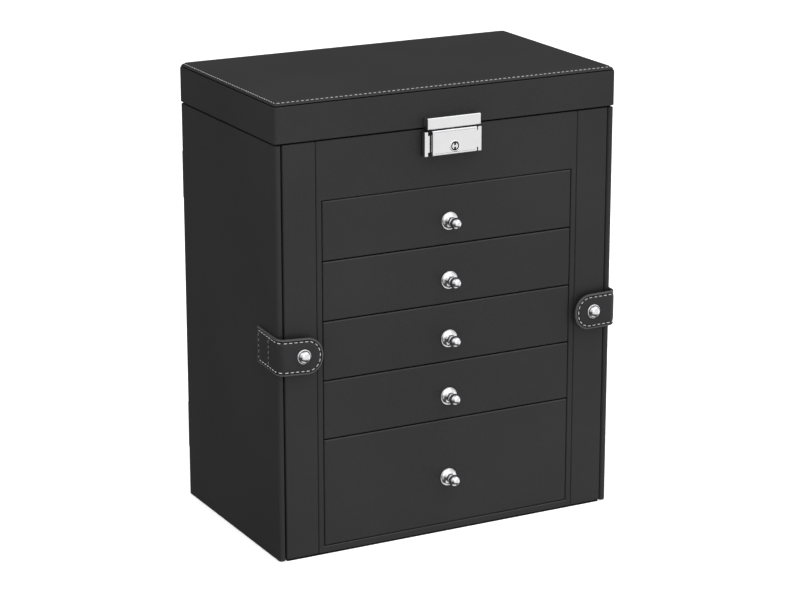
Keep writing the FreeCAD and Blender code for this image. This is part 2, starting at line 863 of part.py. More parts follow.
# Side doors. A door is drawn for the left side, with X inward, and turned about Y for the right.

def mirror_about(thing, side):
    return turn(thing, (0, 1, 0), 0 if side == "left" else 180)


def door_board(side):
    body = mirror_about(new_body(f"{side}_panel"), side)
    plan = rectangle(("0", "door_thick"), ("0", "door_depth"))
    pad(body, "XY_Plane", [plan], "door_height", lift="-door_height / 2")
    long_side = value("door_depth") / 2
    thick = value("door_thick")
    fillet(body, "corner_round", lambda box: box.XMax < 0.001 and box.YLength + box.ZLength > long_side)
    fillet(body, "edge_round", lambda box: box.XMin > thick - 0.001)
    rebate_depth = "door_depth + hinge_gap + seat - leaf_width - hinge_gap"
    loops = []
    for end in both("door_hinge_spread"):
        tall = (f"{end} - hinge_length / 2 - hinge_gap", f"{end} + hinge_length / 2 + hinge_gap")
        loops.append(rectangle((rebate_depth, "door_depth + hinge_gap"), tall))
    pocket(body, "YZ_Plane", loops, "leaf_thick", lift="door_thick")
    put(body, outward(side, "half_width"), "-half_depth", "door_mid")
    keep(body, f"{side}_door_board")


def door_lining(side):
    """Velvet panel with a pocket along the bottom that catches the ends of necklaces."""
    far = "door_inner - velvet_thick"
    panel_y = ("bay_front + velvet_inset", "bay_back - velvet_inset")
    low = "rail_top + velvet_inset"
    tall = (low, "rim_low - velvet_inset")
    panel = block(f"{side}_velvet", on_side(side, far, "door_inner"), panel_y, tall)
    mouth = f"{low} + pocket_height"
    outer = f"{far} - pocket_depth"
    near = f"{panel_y[0]} + door_thick"
    back = f"{panel_y[1]} - door_thick"
    whole = block(f"{side}_pouch", on_side(side, outer, far), (near, back), (low, mouth))
    room = block(f"{side}_room", on_side(side, f"{outer} + pocket_wall", far),
                 (f"{near} + pocket_wall", f"{back} - pocket_wall"), (f"{low} + pocket_wall", mouth))
    pouch = less(f"{side}_pouch_open", whole, room)
    keep(fuse(f"{side}_padding", [panel, pouch]), f"{side}_door_lining")


def hook_rail(side):
    """Rail with a row of pegs for necklaces, each ending in a ball whose seam faces away."""
    face = "door_inner - velvet_thick"
    rail = block(f"{side}_bar", on_side(side, f"{face} - rail_thick", face), both("rail_length / 2"),
                 ("hook_height - rail_tall / 2", "hook_height + rail_tall / 2"))
    shapes = [rail]
    for number in range(HOOKS):
        y = f"({number} - {(HOOKS - 1) / 2}) * hook_pitch"
        peg = rod(f"{side}_peg_{number}", "hook_radius", "rail_thick / 2 + hook_reach", (0, 1, 0),
                  90 if side == "left" else -90)
        shapes.append(put(peg, outward(side, f"{face} - rail_thick / 2"), y, "hook_height"))
        tip = turn(doc.addObject("Part::Sphere", f"{side}_tip_{number}"), (0, 0, 1), 90)
        bind(tip, "Radius", "hook_tip")
        shapes.append(put(tip, outward(side, f"{face} - rail_thick - hook_reach"), y, "hook_height"))
    keep(fuse(f"{side}_hooks", shapes), f"{side}_hook_rail")


# Straps. The origin of a strap's body is the centre of its bend round the corner of the box.

def diagonal(radius, ahead):
    """Point on a bend where the strap is split, half a slit ahead of or behind the diagonal."""
    slit = "strap_split / 2"
    run = f"sqrt({radius} ^ 2 - ({slit}) ^ 2)"
    first, second = ("+", "-") if ahead else ("-", "+")
    return (f"(-{run} {first} {slit}) / sqrt(2)", f"(-{run} {second} {slit}) / sqrt(2)")


def strap_body(name, side, loop):
    body = mirror_about(new_body(name), side)
    pad(body, "XY_Plane", [loop], "strap_height", lift="-strap_height / 2")
    put(body, outward(side, "bend_x"), "bend_y", "strap_mid")
    return body


def strap_root(side):
    """Tail on the door and the first half of the bend."""
    end = "strap_tail - half_depth - bend_y"
    body = strap_body(f"{side}_tail", side, [
        ("-strap_bend", end),
        ("-strap_bend", "0", "strap_bend", True),
        diagonal("strap_bend", False),
        (*diagonal("bend_inner", False), "bend_inner", False),
        ("-bend_inner", "0"),
        ("-bend_inner", end),
    ])
    keep(body, f"{side}_strap_root")


def strap_flap(side):
    """Second half of the bend and the stiffened end with its rounded tip."""
    length = "strap_reach - bend_inner"
    body = strap_body(f"{side}_end", side, [
        (*diagonal("strap_bend", True), "strap_bend", True),
        ("0", "-strap_bend"),
        (length, "-strap_bend"),
        (length, "-bend_inner"),
        ("0", "-bend_inner", "bend_inner", False),
        diagonal("bend_inner", True),
    ])
    tip = value(length)
    fillet(body, "strap_tip", lambda box: box.XMin > tip - 0.001 and box.YLength > 0.5)
    hole = ("circle", "snap_inset - bend_inner", "0", "rivet_radius + pin_play")
    pocket(body, "XZ_Plane", [hole], "strap_bend", lift="strap_bend")
    keep(body, f"{side}_strap_flap")


def snap_button(side):
    """Domed cap, rivet through the strap, and the magnet disc under it."""
    body = new_body(f"{side}_button")
    under = "strap_thick + socket_thick"
    revolve(body, [
        ("0", under),
        ("0", "-cap_rim - cap_dome", "cap_ball", True),
        ("cap_radius", "-cap_rim"),
        ("cap_radius", "0"),
        ("rivet_radius", "0"),
        ("rivet_radius", "strap_thick"),
        ("socket_radius", "strap_thick"),
        ("socket_radius", under),
    ])
    put(body, outward(side, "half_width - snap_inset"), "bend_y - strap_bend", "strap_mid")
    keep(body, f"{side}_snap_button")


def snap_bases():
    """Magnets on the pillars that hold the straps, a small gap below their discs."""
    shapes = []
    reach = "strap_standoff - socket_thick - snap_gap"
    for side in ("left", "right"):
        foot = rod(f"{side}_foot", "cap_radius", "snap_foot", (1, 0, 0), 90)
        post = rod(f"{side}_post", "snap_post", reach, (1, 0, 0), 90)
        for piece in (foot, post):
            put(piece, outward(side, "half_width - snap_inset"), "-half_depth", "strap_mid")
        shapes.append(fuse(f"{side}_magnet", [foot, post]))
    keep(group("magnets", shapes), "snap_bases")


def doors():
    for side in ("left", "right"):
        door_board(side)
        door_lining(side)
        hook_rail(side)
        strap_root(side)
        strap_flap(side)
        snap_button(side)
    snap_bases()


def check_model():
    doc.recompute()
    for thing in doc.Objects:
        if "Invalid" in thing.State or "Error" in thing.State:
            raise ValueError(f"{thing.Label} failed: {thing.State}")
    for node in nodes:
        if node.Shape.isNull() or not node.Shape.isValid() or not node.Shape.Solids:
            raise ValueError(f"{node.Label} has no valid shape")


def write_parts():
    os.makedirs("parts", exist_ok=True)
    for node in nodes:
        node.Shape.exportStep(f"parts/{node.Label}.step")


fill_sheet()
hidden_boards()
drawer_shelves()
pillars()
front_frame()
tray_rim()
tray_liner()
ring_cushion()
hinges()
lid_frame()
lid_panel()
lid_inside()
hasp_plate()
lock_plate()
lock_cover()
lock_cylinder()
lock_spring()
drawers()
doors()
check_model()
write_parts()
for node in nodes:
    print(f"{node.Label}: {len(node.Shape.Solids)} solids, {node.Shape.Volume / 1000:.2f} cm3")
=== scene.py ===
"""Looks of the leather jewelry box, in metres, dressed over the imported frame."""
import json
import math
import random

import bmesh
import bpy
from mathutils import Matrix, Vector, noise


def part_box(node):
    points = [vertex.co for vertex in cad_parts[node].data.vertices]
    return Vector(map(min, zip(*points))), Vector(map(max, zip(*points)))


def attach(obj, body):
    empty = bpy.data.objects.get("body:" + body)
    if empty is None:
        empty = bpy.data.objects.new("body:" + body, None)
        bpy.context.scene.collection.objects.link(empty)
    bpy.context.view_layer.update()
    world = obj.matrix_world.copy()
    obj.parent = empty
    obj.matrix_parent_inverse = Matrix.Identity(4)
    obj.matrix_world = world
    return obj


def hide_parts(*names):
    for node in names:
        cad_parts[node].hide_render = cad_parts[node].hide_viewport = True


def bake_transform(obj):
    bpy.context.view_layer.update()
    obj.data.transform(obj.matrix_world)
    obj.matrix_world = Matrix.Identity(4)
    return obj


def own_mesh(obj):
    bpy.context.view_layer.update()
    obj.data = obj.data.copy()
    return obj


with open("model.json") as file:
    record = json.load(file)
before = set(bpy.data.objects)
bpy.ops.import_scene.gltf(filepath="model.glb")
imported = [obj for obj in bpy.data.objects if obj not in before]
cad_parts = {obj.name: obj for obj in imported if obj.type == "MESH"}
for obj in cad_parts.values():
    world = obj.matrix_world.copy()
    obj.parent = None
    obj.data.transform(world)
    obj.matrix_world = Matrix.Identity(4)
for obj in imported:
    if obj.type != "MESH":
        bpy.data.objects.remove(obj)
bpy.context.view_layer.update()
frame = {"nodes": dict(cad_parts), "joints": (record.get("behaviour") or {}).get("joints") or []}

NODES = frame["nodes"]
JOINTS = {joint["name"]: joint for joint in frame["joints"]}
SIDES = (("left", -1), ("right", 1))
DRAWERS = range(1, 6)

# Camera, fitted to the photograph
CAMERA_PLACE = (-0.9282, -1.7580, 0.7452)
CAMERA_YAW = 27.91
CAMERA_DOWN = 16.40
CAMERA_LENS = 122.03

# Light
ROOM_LIGHT = 0.07
FLOOR_GLOW = 0.50
KEY_POWER = 2.5
TOP_POWER = 43.0
TOP_GLOSS = 0.35
FILL_POWER = 3.0
# Glows of the room: direction faced, shares of facing it where the glow starts and is full,
# heights of view where it starts and is full, strength
GLOWS = (
    ((0.60, -0.80, 0.0), (0.15, 0.72), (-0.66, -0.40), 0.84),
    (None, None, (0.36, 0.70), 0.52),
    ((0.80, 0.60, 0.0), (0.25, 0.75), (0.05, -0.10), 0.45),
    ((-0.92, -0.38, 0.0), (0.10, 0.50), (-0.12, 0.12), 0.52),
    (None, None, (-0.88, -0.95), 0.80),
)

# Leather
EDGE_ROUND = 0.0009
PILLAR_ROUND = 0.0011
DOOR_ROUND = 0.0023
DOOR_RECESS = 0.00006
BOARD_CROWN = 0.00025
# Boards whose foot is lower than FOOT_HEIGHT get painted shade on their downward rounding, over FOOT_SHARE of
# its radius.
FOOT_HEIGHT = 0.004
FOOT_SHARE = 0.8
# The near-black felt reaches past the case by this much, as a painted contact shadow line.
FELT_SHADOW_REACH = 0.0033
LID_CORNER = 0.0024
LID_ROUND = 0.0046
LID_WALL = 0.007
LID_LIP = 0.0006
SEAM_TURN = (17.5, 26.5)
SEAM_DEPTH = 0.0014
SEAM_LIP = 0.00012
SEAM_EASE = 1.5
STITCH_TURN = 57.0

# Stitches
THREAD_WIDTH = 0.00062
THREAD_HEIGHT = 0.00050
LID_STITCH_PITCH = 0.0038
LID_THREAD_SHARE = 0.78
STRAP_STITCH_PITCH = 0.0042
STRAP_STITCH_INSET = 0.0027
STITCH_SHARE = 0.68
CHANNEL_WIDTH = 0.0009
CHANNEL_DEPTH = 0.00030
CREASE_DEPTH = 0.00035

# Cloth simulation of the ring rolls
SIM_FRAMES = 20
PAD_PRESSURE = 3.0
PAD_REACH = 0.0016
CLOTH_SPARE = 0.05

# Inside of the doors and drawers
LINING_THICK = 0.0012
POCKET_DEPTH = 0.0120
POCKET_HEIGHT = 0.0620
DIVIDER_THICK = 0.002

# Straps
STRAP_THICK = 0.002
STRAP_TIP = (0.0125, 0.0130)
STRAP_TILT = {"left": 0.055, "right": 0.015}
STRAP_BEND = 0.0060
STRAP_PUFF = 0.00025
TAIL_ROW = 0.0105

# Turned metal
FLANGE_RADIUS = 0.00675
BALL_RADIUS = 0.0044
BALL_OUT = 0.0098
NECK_RADIUS = 0.0024
LEAF_THICK = 0.001
LATHE_STEPS = 64


# Materials

def feed(socket, value):
    """Link a socket to another one, or give it a plain value."""
    if isinstance(value, bpy.types.NodeSocket):
        socket.id_data.links.new(value, socket)
    else:
        socket.default_value = value


class Look:
    """A material and short ways to add its nodes. Textures follow each piece in metres."""

    def __init__(self, name):
        self.material = bpy.data.materials.new(name)
        self.material.use_nodes = True
        self.tree = self.material.node_tree
        self.shader = self.tree.nodes["Principled BSDF"]
        self.place = self.add("ShaderNodeTexCoord").outputs["Object"]

    def add(self, kind, **settings):
        made = self.tree.nodes.new(kind)
        for key, value in settings.items():
            setattr(made, key, value)
        return made

    def texture(self, kind, place=None, inputs=(), **settings):
        made = self.add(kind, **settings)
        feed(made.inputs["Vector"], place or self.place)
        for key, value in inputs:
            made.inputs[key].default_value = value
        return made.outputs

    def stretched(self, scale):
        return self.texture("ShaderNodeMapping", inputs=[("Scale", scale)])["Vector"]

    def noise(self, scale, detail=2.0, place=None, rough=0.5):
        inputs = (("Scale", scale), ("Detail", detail), ("Roughness", rough))
        return self.texture("ShaderNodeTexNoise", place, inputs)["Fac"]

    def cells(self, scale):
        made = self.texture("ShaderNodeTexVoronoi", inputs=[("Scale", scale)], feature="SMOOTH_F1")
        return made["Distance"]

    def twist(self, scale, distortion):
        inputs = (("Scale", scale), ("Distortion", distortion))
        return self.texture("ShaderNodeTexWave", inputs=inputs, bands_direction="DIAGONAL")["Fac"]

    def sum(self, first, second, share=1.0):
        """first + second * share"""
        made = self.add("ShaderNodeMath", operation="MULTIPLY_ADD")
        feed(made.inputs[0], second)
        made.inputs[1].default_value = share
        feed(made.inputs[2], first)
        return made.outputs[0]

    def between(self, factor, low, high, start=0.0, end=1.0):
        """low to high as the factor goes from start to end."""
        made = self.add("ShaderNodeMapRange", clamp=True)
        feed(made.inputs["Value"], factor)
        for key, value in (("From Min", start), ("From Max", end), ("To Min", low), ("To Max", high)):
            made.inputs[key].default_value = value
        return made.outputs["Result"]

    def colours(self, factor, stops):
        """Colour ramp from (position, colour) stops."""
        made = self.add("ShaderNodeValToRGB")
        feed(made.inputs["Fac"], factor)
        ramp = made.color_ramp
        while len(ramp.elements) < len(stops):
            ramp.elements.new(0.5)
        for element, (position, colour) in zip(ramp.elements, stops):
            element.position = position
            element.color = (*colour, 1.0)
        return made.outputs["Color"]

    def bump(self, height, distance, strength=1.0, after=None):
        made = self.add("ShaderNodeBump")
        made.inputs["Strength"].default_value = strength
        made.inputs["Distance"].default_value = distance
        feed(made.inputs["Height"], height)
        if after is not None:
            feed(made.inputs["Normal"], after)
        return made.outputs["Normal"]

    def set(self, **sockets):
        """Set the shader's sockets. An underscore stands for a space."""
        for key, value in sockets.items():
            feed(self.shader.inputs[key.replace("_", " ")], value)
        return self.material


def leather(name, dark, light, gloss=0.47):
    """Near-matte leather with a fine pebble grain, soft creases and slight cloudiness."""
    look = Look(name)
    cloud = look.noise(9.0, 3.0)
    mottle = look.noise(620.0, 2.0)
    pebbles = look.cells(1250.0)
    creases = look.noise(70.0, 4.0, rough=0.6)
    tone = look.sum(look.sum(cloud, mottle, 0.45), pebbles, 0.30)
    rough = look.between(look.sum(cloud, pebbles, 0.6), gloss - 0.05, gloss + 0.07, 0.3, 1.1)
    grain = look.bump(look.sum(pebbles, mottle, 0.5), 0.00009, 0.55)
    return look.set(
        Base_Color=look.colours(look.between(tone, 0.0, 1.0, 0.45, 1.20), ((0.0, dark), (1.0, light))),
        Roughness=rough,
        Specular_IOR_Level=0.21,
        Normal=look.bump(creases, 0.0006, 0.12, grain),
    )


def velvet(name, dark, light, sheen=0.55):
    """Short pile that lies in lighter and darker patches."""
    look = Look(name)
    patches = look.noise(38.0, 3.0, look.stretched((1.0, 1.0, 1.7)))
    fibres = look.noise(2600.0, 2.0, rough=0.8)
    tone = look.sum(patches, fibres, 0.5)
    return look.set(
        Base_Color=look.colours(look.between(tone, 0.0, 1.0, 0.45, 1.05), ((0.0, dark), (1.0, light))),
        Roughness=look.between(patches, 0.80, 0.95),
        Specular_IOR_Level=0.2,
        Sheen_Weight=sheen,
        Sheen_Roughness=0.45,
        Sheen_Tint=(0.62, 0.62, 0.68, 1.0),
        Normal=look.bump(look.sum(fibres, patches, 0.4), 0.00022, 0.6),
    )


def metal(name, colour, gloss, scratches=0.03, brushed=False):
    """Plated metal. Brushed metal has fine lines along X."""
    look = Look(name)
    place = look.stretched((1.0, 40.0, 40.0)) if brushed else look.place
    smear = look.noise(90.0, 3.0)
    lines = look.noise(260.0, 3.0, place, rough=0.7)
    return look.set(
        Base_Color=look.colours(look.between(smear, 0.0, 1.0, 0.3, 0.8), (
            (0.0, tuple(0.94 * part for part in colour)), (1.0, colour))),
        Metallic=1.0,
        Roughness=look.between(look.sum(smear, lines, 0.6), gloss, gloss + scratches, 0.5, 1.1),
        Normal=look.bump(lines, 0.00002, 0.35 if brushed else 0.06),
    )


def thread(name, dark, light):
    """Waxed thread, twisted from strands."""
    look = Look(name)
    twist = look.twist(900.0, 1.2)
    return look.set(
        Base_Color=look.colours(look.sum(twist, look.noise(300.0), 0.6), ((0.25, dark), (1.0, light))),
        Roughness=look.between(twist, 0.5, 0.68),
        Normal=look.bump(twist, 0.0001, 0.7),
    )


def mirror():
    """Silvered glass with the faintest haze."""
    look = Look("mirror")
    return look.set(
        Base_Color=look.colours(look.noise(14.0), ((0.3, (0.86, 0.88, 0.89)), (0.8, (0.90, 0.92, 0.92)))),
        Metallic=1.0,
        Roughness=look.between(look.noise(40.0), 0.012, 0.022),
    )


def felt():
    """Pressed wool felt with matted fibres, near black as a painted contact shadow."""
    look = Look("felt")
    fibres = look.noise(900.0, 5.0, rough=0.75)
    return look.set(
        Base_Color=look.colours(fibres, ((0.3, (0.0015, 0.0015, 0.0016)), (0.7, (0.006, 0.006, 0.0064)))),
        Roughness=look.between(fibres, 0.9, 1.0),
        Specular_IOR_Level=0.02,
        Normal=look.bump(fibres, 0.0004, 0.8),
    )


LEATHER = leather("leather", (0.0155, 0.0155, 0.0158), (0.0232, 0.0232, 0.0236))
# Strap rim: glossy edge paint, lighter than the leather as a painted highlight.
LEATHER_EDGE_PAINT_AND_HIGHLIGHT = leather("leather_edge_paint_and_highlight", (0.050, 0.050, 0.051), (0.075, 0.075, 0.076), gloss=0.33)
# Painted highlight on the top front edges of the drawers and the bottom rail.
LEATHER_PAINTED_HIGHLIGHT = leather("leather_painted_highlight", (0.030, 0.030, 0.0305), (0.046, 0.046, 0.0465), gloss=0.42)
# Painted shade in the lid's seam, the straps' stitch channels and on the boards' foot.
LEATHER_PAINTED_SHADE = leather("leather_painted_shade", (0.008, 0.008, 0.0082), (0.013, 0.013, 0.0132))
VELVET = velvet("velvet", (0.030, 0.030, 0.033), (0.062, 0.062, 0.068))
ROLL_VELVET = velvet("roll_velvet", (0.036, 0.036, 0.040), (0.074, 0.074, 0.081), sheen=0.65)
CHROME = metal("chrome", (0.88, 0.88, 0.90), 0.07)
LOCK_METAL = metal("lock_metal", (0.90, 0.90, 0.91), 0.16, 0.06)
# Painted shade in the lock's recesses: its back plate and the body of its core.
METAL_PAINTED_SHADE = metal("metal_painted_shade", (0.045, 0.045, 0.047), 0.38, 0.12)
STEEL = metal("steel", (0.62, 0.61, 0.60), 0.26, 0.12, brushed=True)
THREAD = thread("thread", (0.30, 0.30, 0.30), (0.56, 0.56, 0.55))
# Painted shade on the upright stitches of the straps' side parts.
THREAD_PAINTED_SHADE = thread("thread_painted_shade", (0.10, 0.10, 0.10), (0.20, 0.20, 0.20))
MIRROR = mirror()
# Near-black felt, a painted contact shadow under the box.
FELT_AND_PAINTED_SHADOW = felt()


# Mesh helpers

def span(node):
    """Lowest and highest corner of a CAD node."""
    low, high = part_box(node)
    return Vector(low), Vector(high)


def piece(name, shape, body, slot, *looks, sharp=38.0, instead=None):
    """Finish a mesh as a named piece that rides on a body, shown instead of a CAD node."""
    bmesh.ops.remove_doubles(shape, verts=shape.verts, dist=1e-7)
    bmesh.ops.recalc_face_normals(shape, faces=shape.faces)
    mesh = bpy.data.meshes.new(name)
    shape.to_mesh(mesh)
    shape.free()
    mesh.shade_smooth()
    mesh.set_sharp_from_angle(angle=math.radians(sharp))
    for look in looks:
        mesh.materials.append(look)
    made = bpy.data.objects.new(name, mesh)
    bpy.context.scene.collection.objects.link(made)
    if body:
        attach(made, body)
        even = made.modifiers.new("even_shading", "WEIGHTED_NORMAL")
        even.keep_sharp = True
    if instead:
        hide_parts(instead)
    return made


def dress(name, look):
    """Give a CAD node that keeps its own shape its finished material."""
    slots = NODES[name].material_slots
    if not slots:
        NODES[name].data.materials.append(look)
    for holder in NODES[name].material_slots:
        holder.link = "OBJECT"
        holder.material = look


def spread(low, high, radius, cells, steps):
    """Coordinates along a rounded box: close together in its rounded ends."""
    ends = [radius * (1 - math.tan(math.radians(45 * (1 - k / steps)))) for k in range(steps + 1)]
    inner = [low + radius + (high - low - 2 * radius) * k / cells for k in range(1, cells)]
    return sorted([low + end for end in ends] + inner + [high - end for end in ends])


def crown(low, high, axis, height):
    """A mover that swells the face on the far side of an axis, most in its middle."""
    others = [a for a in range(3) if a != axis]
    face = low[axis] if height < 0 else high[axis]
    middle = (low[axis] + high[axis]) / 2

    def move(point):
        share = 1.0
        for a in others:
            share *= 1 - abs(2 * (point[a] - low[a]) / (high[a] - low[a]) - 1) ** 4
        point[axis] += height * share * max((point[axis] - middle) / (face - middle), 0.0)

    return move


def rounded_box(low, high, radius, cells=(1, 1, 1), steps=4, swell=None):
    """Box with rounded edges as a grid of quads. swell is the axis and height of a crowned face."""
    low, high = Vector(low), Vector(high)
    radius = Vector(radius) if hasattr(radius, "__len__") else Vector((radius,) * 3)
    lines = [spread(low[a], high[a], radius[a], cells[a], steps) for a in range(3)]
    last = [len(line) - 1 for line in lines]
    move = crown(low, high, *swell) if swell else None
    shape = bmesh.new()
    made = {}

    def corner(index):
        if index not in made:
            point = Vector([lines[a][index[a]] for a in range(3)])
            core = Vector([min(max(point[a], low[a] + radius[a]), high[a] - radius[a]) for a in range(3)])
            out = Vector([(point[a] - core[a]) / radius[a] for a in range(3)])
            if out.length > 0:
                point = core + radius * out / out.length
            if move:
                move(point)
            made[index] = shape.verts.new(point)
        return made[index]

    for axis in range(3):
        across, along = (axis + 1) % 3, (axis + 2) % 3
        for side in (0, last[axis]):
            for i in range(last[across]):
                for j in range(last[along]):
                    face = []
                    for u, v in ((i, j), (i + 1, j), (i + 1, j + 1), (i, j + 1)):
                        index = [side] * 3
                        index[across], index[along] = u, v
                        face.append(corner(tuple(index)))
                    shape.faces.new(face if side else face[::-1])
    return shape


def loft(rings, closed=False, ends=None, material=0, looks=(), shape=None):
    """Faces between rings of points. A ring of one point closes to a tip.

    ends closes the first and last ring: "flat" with one face, "strips" across a long thin ring.
    looks gives the material of each band of faces in turn, where it isn't the material of the rest.
    """
    shape = shape or bmesh.new()
    made = [[shape.verts.new(point) for point in ring] for ring in rings]
    pairs = list(zip(made, made[1:]))
    if closed:
        pairs.append((made[-1], made[0]))
    for number, (low, high) in enumerate(pairs):
        count = max(len(low), len(high))
        for k in range(count):
            n = (k + 1) % count
            if len(low) == 1:
                corners = (low[0], high[n], high[k])
            elif len(high) == 1:
                corners = (low[k], low[n], high[0])
            else:
                corners = (low[k], low[n], high[n], high[k])
            face = shape.faces.new(corners)
            face.material_index = looks[number] if number < len(looks) else material
    for ring in (made[0][::-1], made[-1]):
        if ends == "strips":
            for k in range(len(ring) // 2 - 1):
                shape.faces.new((ring[k], ring[k + 1], ring[-2 - k], ring[-1 - k]))
        elif ends == "flat":
            shape.faces.new(ring).material_index = material
    return shape


def arc(centre, radius, start, end, steps):
    """Points of an arc, in degrees. radius may be a pair, across and up."""
    across, up = radius if hasattr(radius, "__len__") else (radius, radius)
    turns = [math.radians(start + (end - start) * k / steps) for k in range(steps + 1)]
    return [(centre[0] + across * math.cos(turn), centre[1] + up * math.sin(turn)) for turn in turns]


def rectangle_ring(x, y, radius, steps):
    """Points of a rectangle with rounded corners."""
    radius = max(radius, 1e-5)
    centres = ((x[1] - radius, y[0] + radius), (x[1] - radius, y[1] - radius),
               (x[0] + radius, y[1] - radius), (x[0] + radius, y[0] + radius))
    return [point for quarter, centre in enumerate(centres)
            for point in arc(centre, radius, 90 * (quarter - 1), 90 * quarter, steps)]


def box_ring(low, high, inset, level, corner, steps=5, upright=False):
    """Rounded outline of a box, moved in from its sides: flat at a height, or upright at a depth."""
    other = 2 if upright else 1
    outline = rectangle_ring((low.x + inset, high.x - inset), (low[other] + inset, high[other] - inset),
                             corner, steps)
    return [Vector((a, level, b)) if upright else Vector((a, b, level)) for a, b in outline]


def rounding(radius, steps=5):
    """(inset, rise) of the points of a rounded edge, from its foot up."""
    return [(radius - x, y) for x, y in arc((0, 0), radius, 0, 90, steps)]


def circle_ring(radius, count=LATHE_STEPS):
    """Points of a circle, from its lowest one."""
    return arc((0, 0), radius, -90, 270, count)[:-1]


def lathe(profile, place, out=(0, -1, 0), steps=LATHE_STEPS, shape=None):
    """Solid of revolution from (radius, distance out) points."""
    out = Vector(out).normalized()
    side = out.orthogonal().normalized()
    up = out.cross(side)
    rings = []
    for radius, distance in profile:
        centre = Vector(place) + out * distance
        if radius < 1e-6:
            rings.append([centre])
        else:
            rings.append([centre + side * u + up * v for u, v in circle_ring(radius, steps)])
    return loft(rings, shape=shape)


def join(shapes):
    """One mesh out of several."""
    whole = bmesh.new()
    for shape in shapes:
        mesh = bpy.data.meshes.new("part")
        shape.to_mesh(mesh)
        shape.free()
        whole.from_mesh(mesh)
        bpy.data.meshes.remove(mesh)
    return whole


# Stitches

def walk(path, pitch, closed=True):
    """Evenly spaced (place, direction) along a path of points."""
    points = [Vector(point) for point in path]
    if closed:
        points.append(points[0])
    lengths = [(b - a).length for a, b in zip(points, points[1:])]
    count = max(1, round(sum(lengths) / pitch))
    step = sum(lengths) / count
    places = []
    index, passed = 0, 0.0
    for number in range(count):
        target = (number + 0.5) * step
        while index < len(lengths) - 1 and passed + lengths[index] < target:
            passed += lengths[index]
            index += 1
        direction = (points[index + 1] - points[index]).normalized()
        places.append((points[index] + direction * (target - passed), direction))
    return places


def add_stitch(shape, place, direction, normal, length, thick=1.0, material=0):
    """A short length of thread that dips into the leather at both ends."""
    side = direction.cross(normal).normalized()
    stations, around = 6, 8
    rings = []
    for k in range(stations + 1):
        t = 2 * k / stations - 1
        swell = max(1 - t * t * t * t, 0.05) ** 0.5
        rise = THREAD_HEIGHT * (0.30 - 0.75 * t * t * t * t)
        centre = place + direction * (t * length / 2) + normal * rise
        across = side * (THREAD_WIDTH / 2 * swell * thick)
        rings.append([centre + across * u + normal * (THREAD_HEIGHT / 2 * swell * v)
                      for u, v in circle_ring(1.0, around)])
    loft(rings, ends="flat", material=material, shape=shape)


def channel(distance):
    """Depth of the stitch channel at a distance from its middle."""
    return CHANNEL_DEPTH * max(0.0, 1 - (distance / CHANNEL_WIDTH) ** 2)


# Case

def paint_edge_highlight_and_foot_shade(shape, height, reach, foot=None):
    """Paint the rounded front edge under a height lighter as a painted highlight, and the rounded edge at the
    foot darker as painted shade.
    """
    for face in shape.faces:
        face.normal_update()
        place, normal = face.calc_center_median(), face.normal
        at_height = height is not None and height - reach < place.z < height + 0.00001
        # Top front rounding: painted highlight.
        if at_height and min(-normal.y, normal.z) > 0.25:
            face.material_index = 1
        # Downward rounding at the foot: painted shade.
        if foot is not None and place.z < foot + reach * FOOT_SHARE and normal.z < -0.2:
            face.material_index = 2


def wrapped_board(node, body, radius, swell, cells, inset=(Vector(), Vector()), top_highlight=False):
    """Board wrapped in leather, with rounded edges and one face that swells a little."""
    low, high = (corner + shift for corner, shift in zip(span(node), inset))
    shape = rounded_box(low, high, radius, cells, swell=swell)
    edge = radius[2] if hasattr(radius, "__len__") else radius
    # A painted highlight on the top front edge where asked, and painted shade on the foot's rounding.
    paint_edge_highlight_and_foot_shade(shape, high.z if top_highlight else None, edge, low.z if low.z < FOOT_HEIGHT else None)
    piece(f"{node}_leather", shape, body, "leather", LEATHER, LEATHER_PAINTED_HIGHLIGHT, LEATHER_PAINTED_SHADE, instead=node)


def leather_boards():
    """Boards of the case that are wrapped in leather on their own."""
    for side, _ in SIDES:
        wrapped_board(f"{side}_pillar", "case", PILLAR_ROUND, (1, -BOARD_CROWN / 2), (4, 1, 12))
    wrapped_board("back_board", "case", EDGE_ROUND, (1, BOARD_CROWN), (12, 1, 12))


def frame_rings(outer, inner, near, far, radius, corner):
    """Rings round a board with a window, from its outer back edge over the front to the inner one."""
    edge = rounding(radius)
    rings = [box_ring(*outer, 0, far, corner, upright=True)]
    rings += [box_ring(*outer, inset, near + radius - rise, corner, upright=True) for inset, rise in edge]
    rings += [box_ring(*inner, -inset, near + radius - rise, corner / 3, upright=True)
              for inset, rise in reversed(edge)]
    return rings + [box_ring(*inner, 0, far, corner / 3, upright=True)]


def front_frame():
    """Top band, stiles and bottom rail round the drawers, wrapped as one board."""
    low, high = span("front_frame")
    first, top = span("drawer_5_front")[0], span("drawer_1_front")[1]
    gap, corner = 0.0004, 0.0008
    window = (Vector((first.x - gap, 0, first.z - gap)), Vector((gap - first.x, 0, top.z + gap)))
    rings = frame_rings((low, high), window, low.y, high.y, EDGE_ROUND, corner)
    shape = loft(rings, closed=True)
    # Painted highlight on the bottom rail's top edge under the drawers, painted shade on the foot's rounding.
    paint_edge_highlight_and_foot_shade(shape, window[0].z, EDGE_ROUND, low.z)
    piece("front_frame_leather", shape, "case", "leather", LEATHER, LEATHER_PAINTED_HIGHLIGHT, LEATHER_PAINTED_SHADE,
          instead="front_frame")


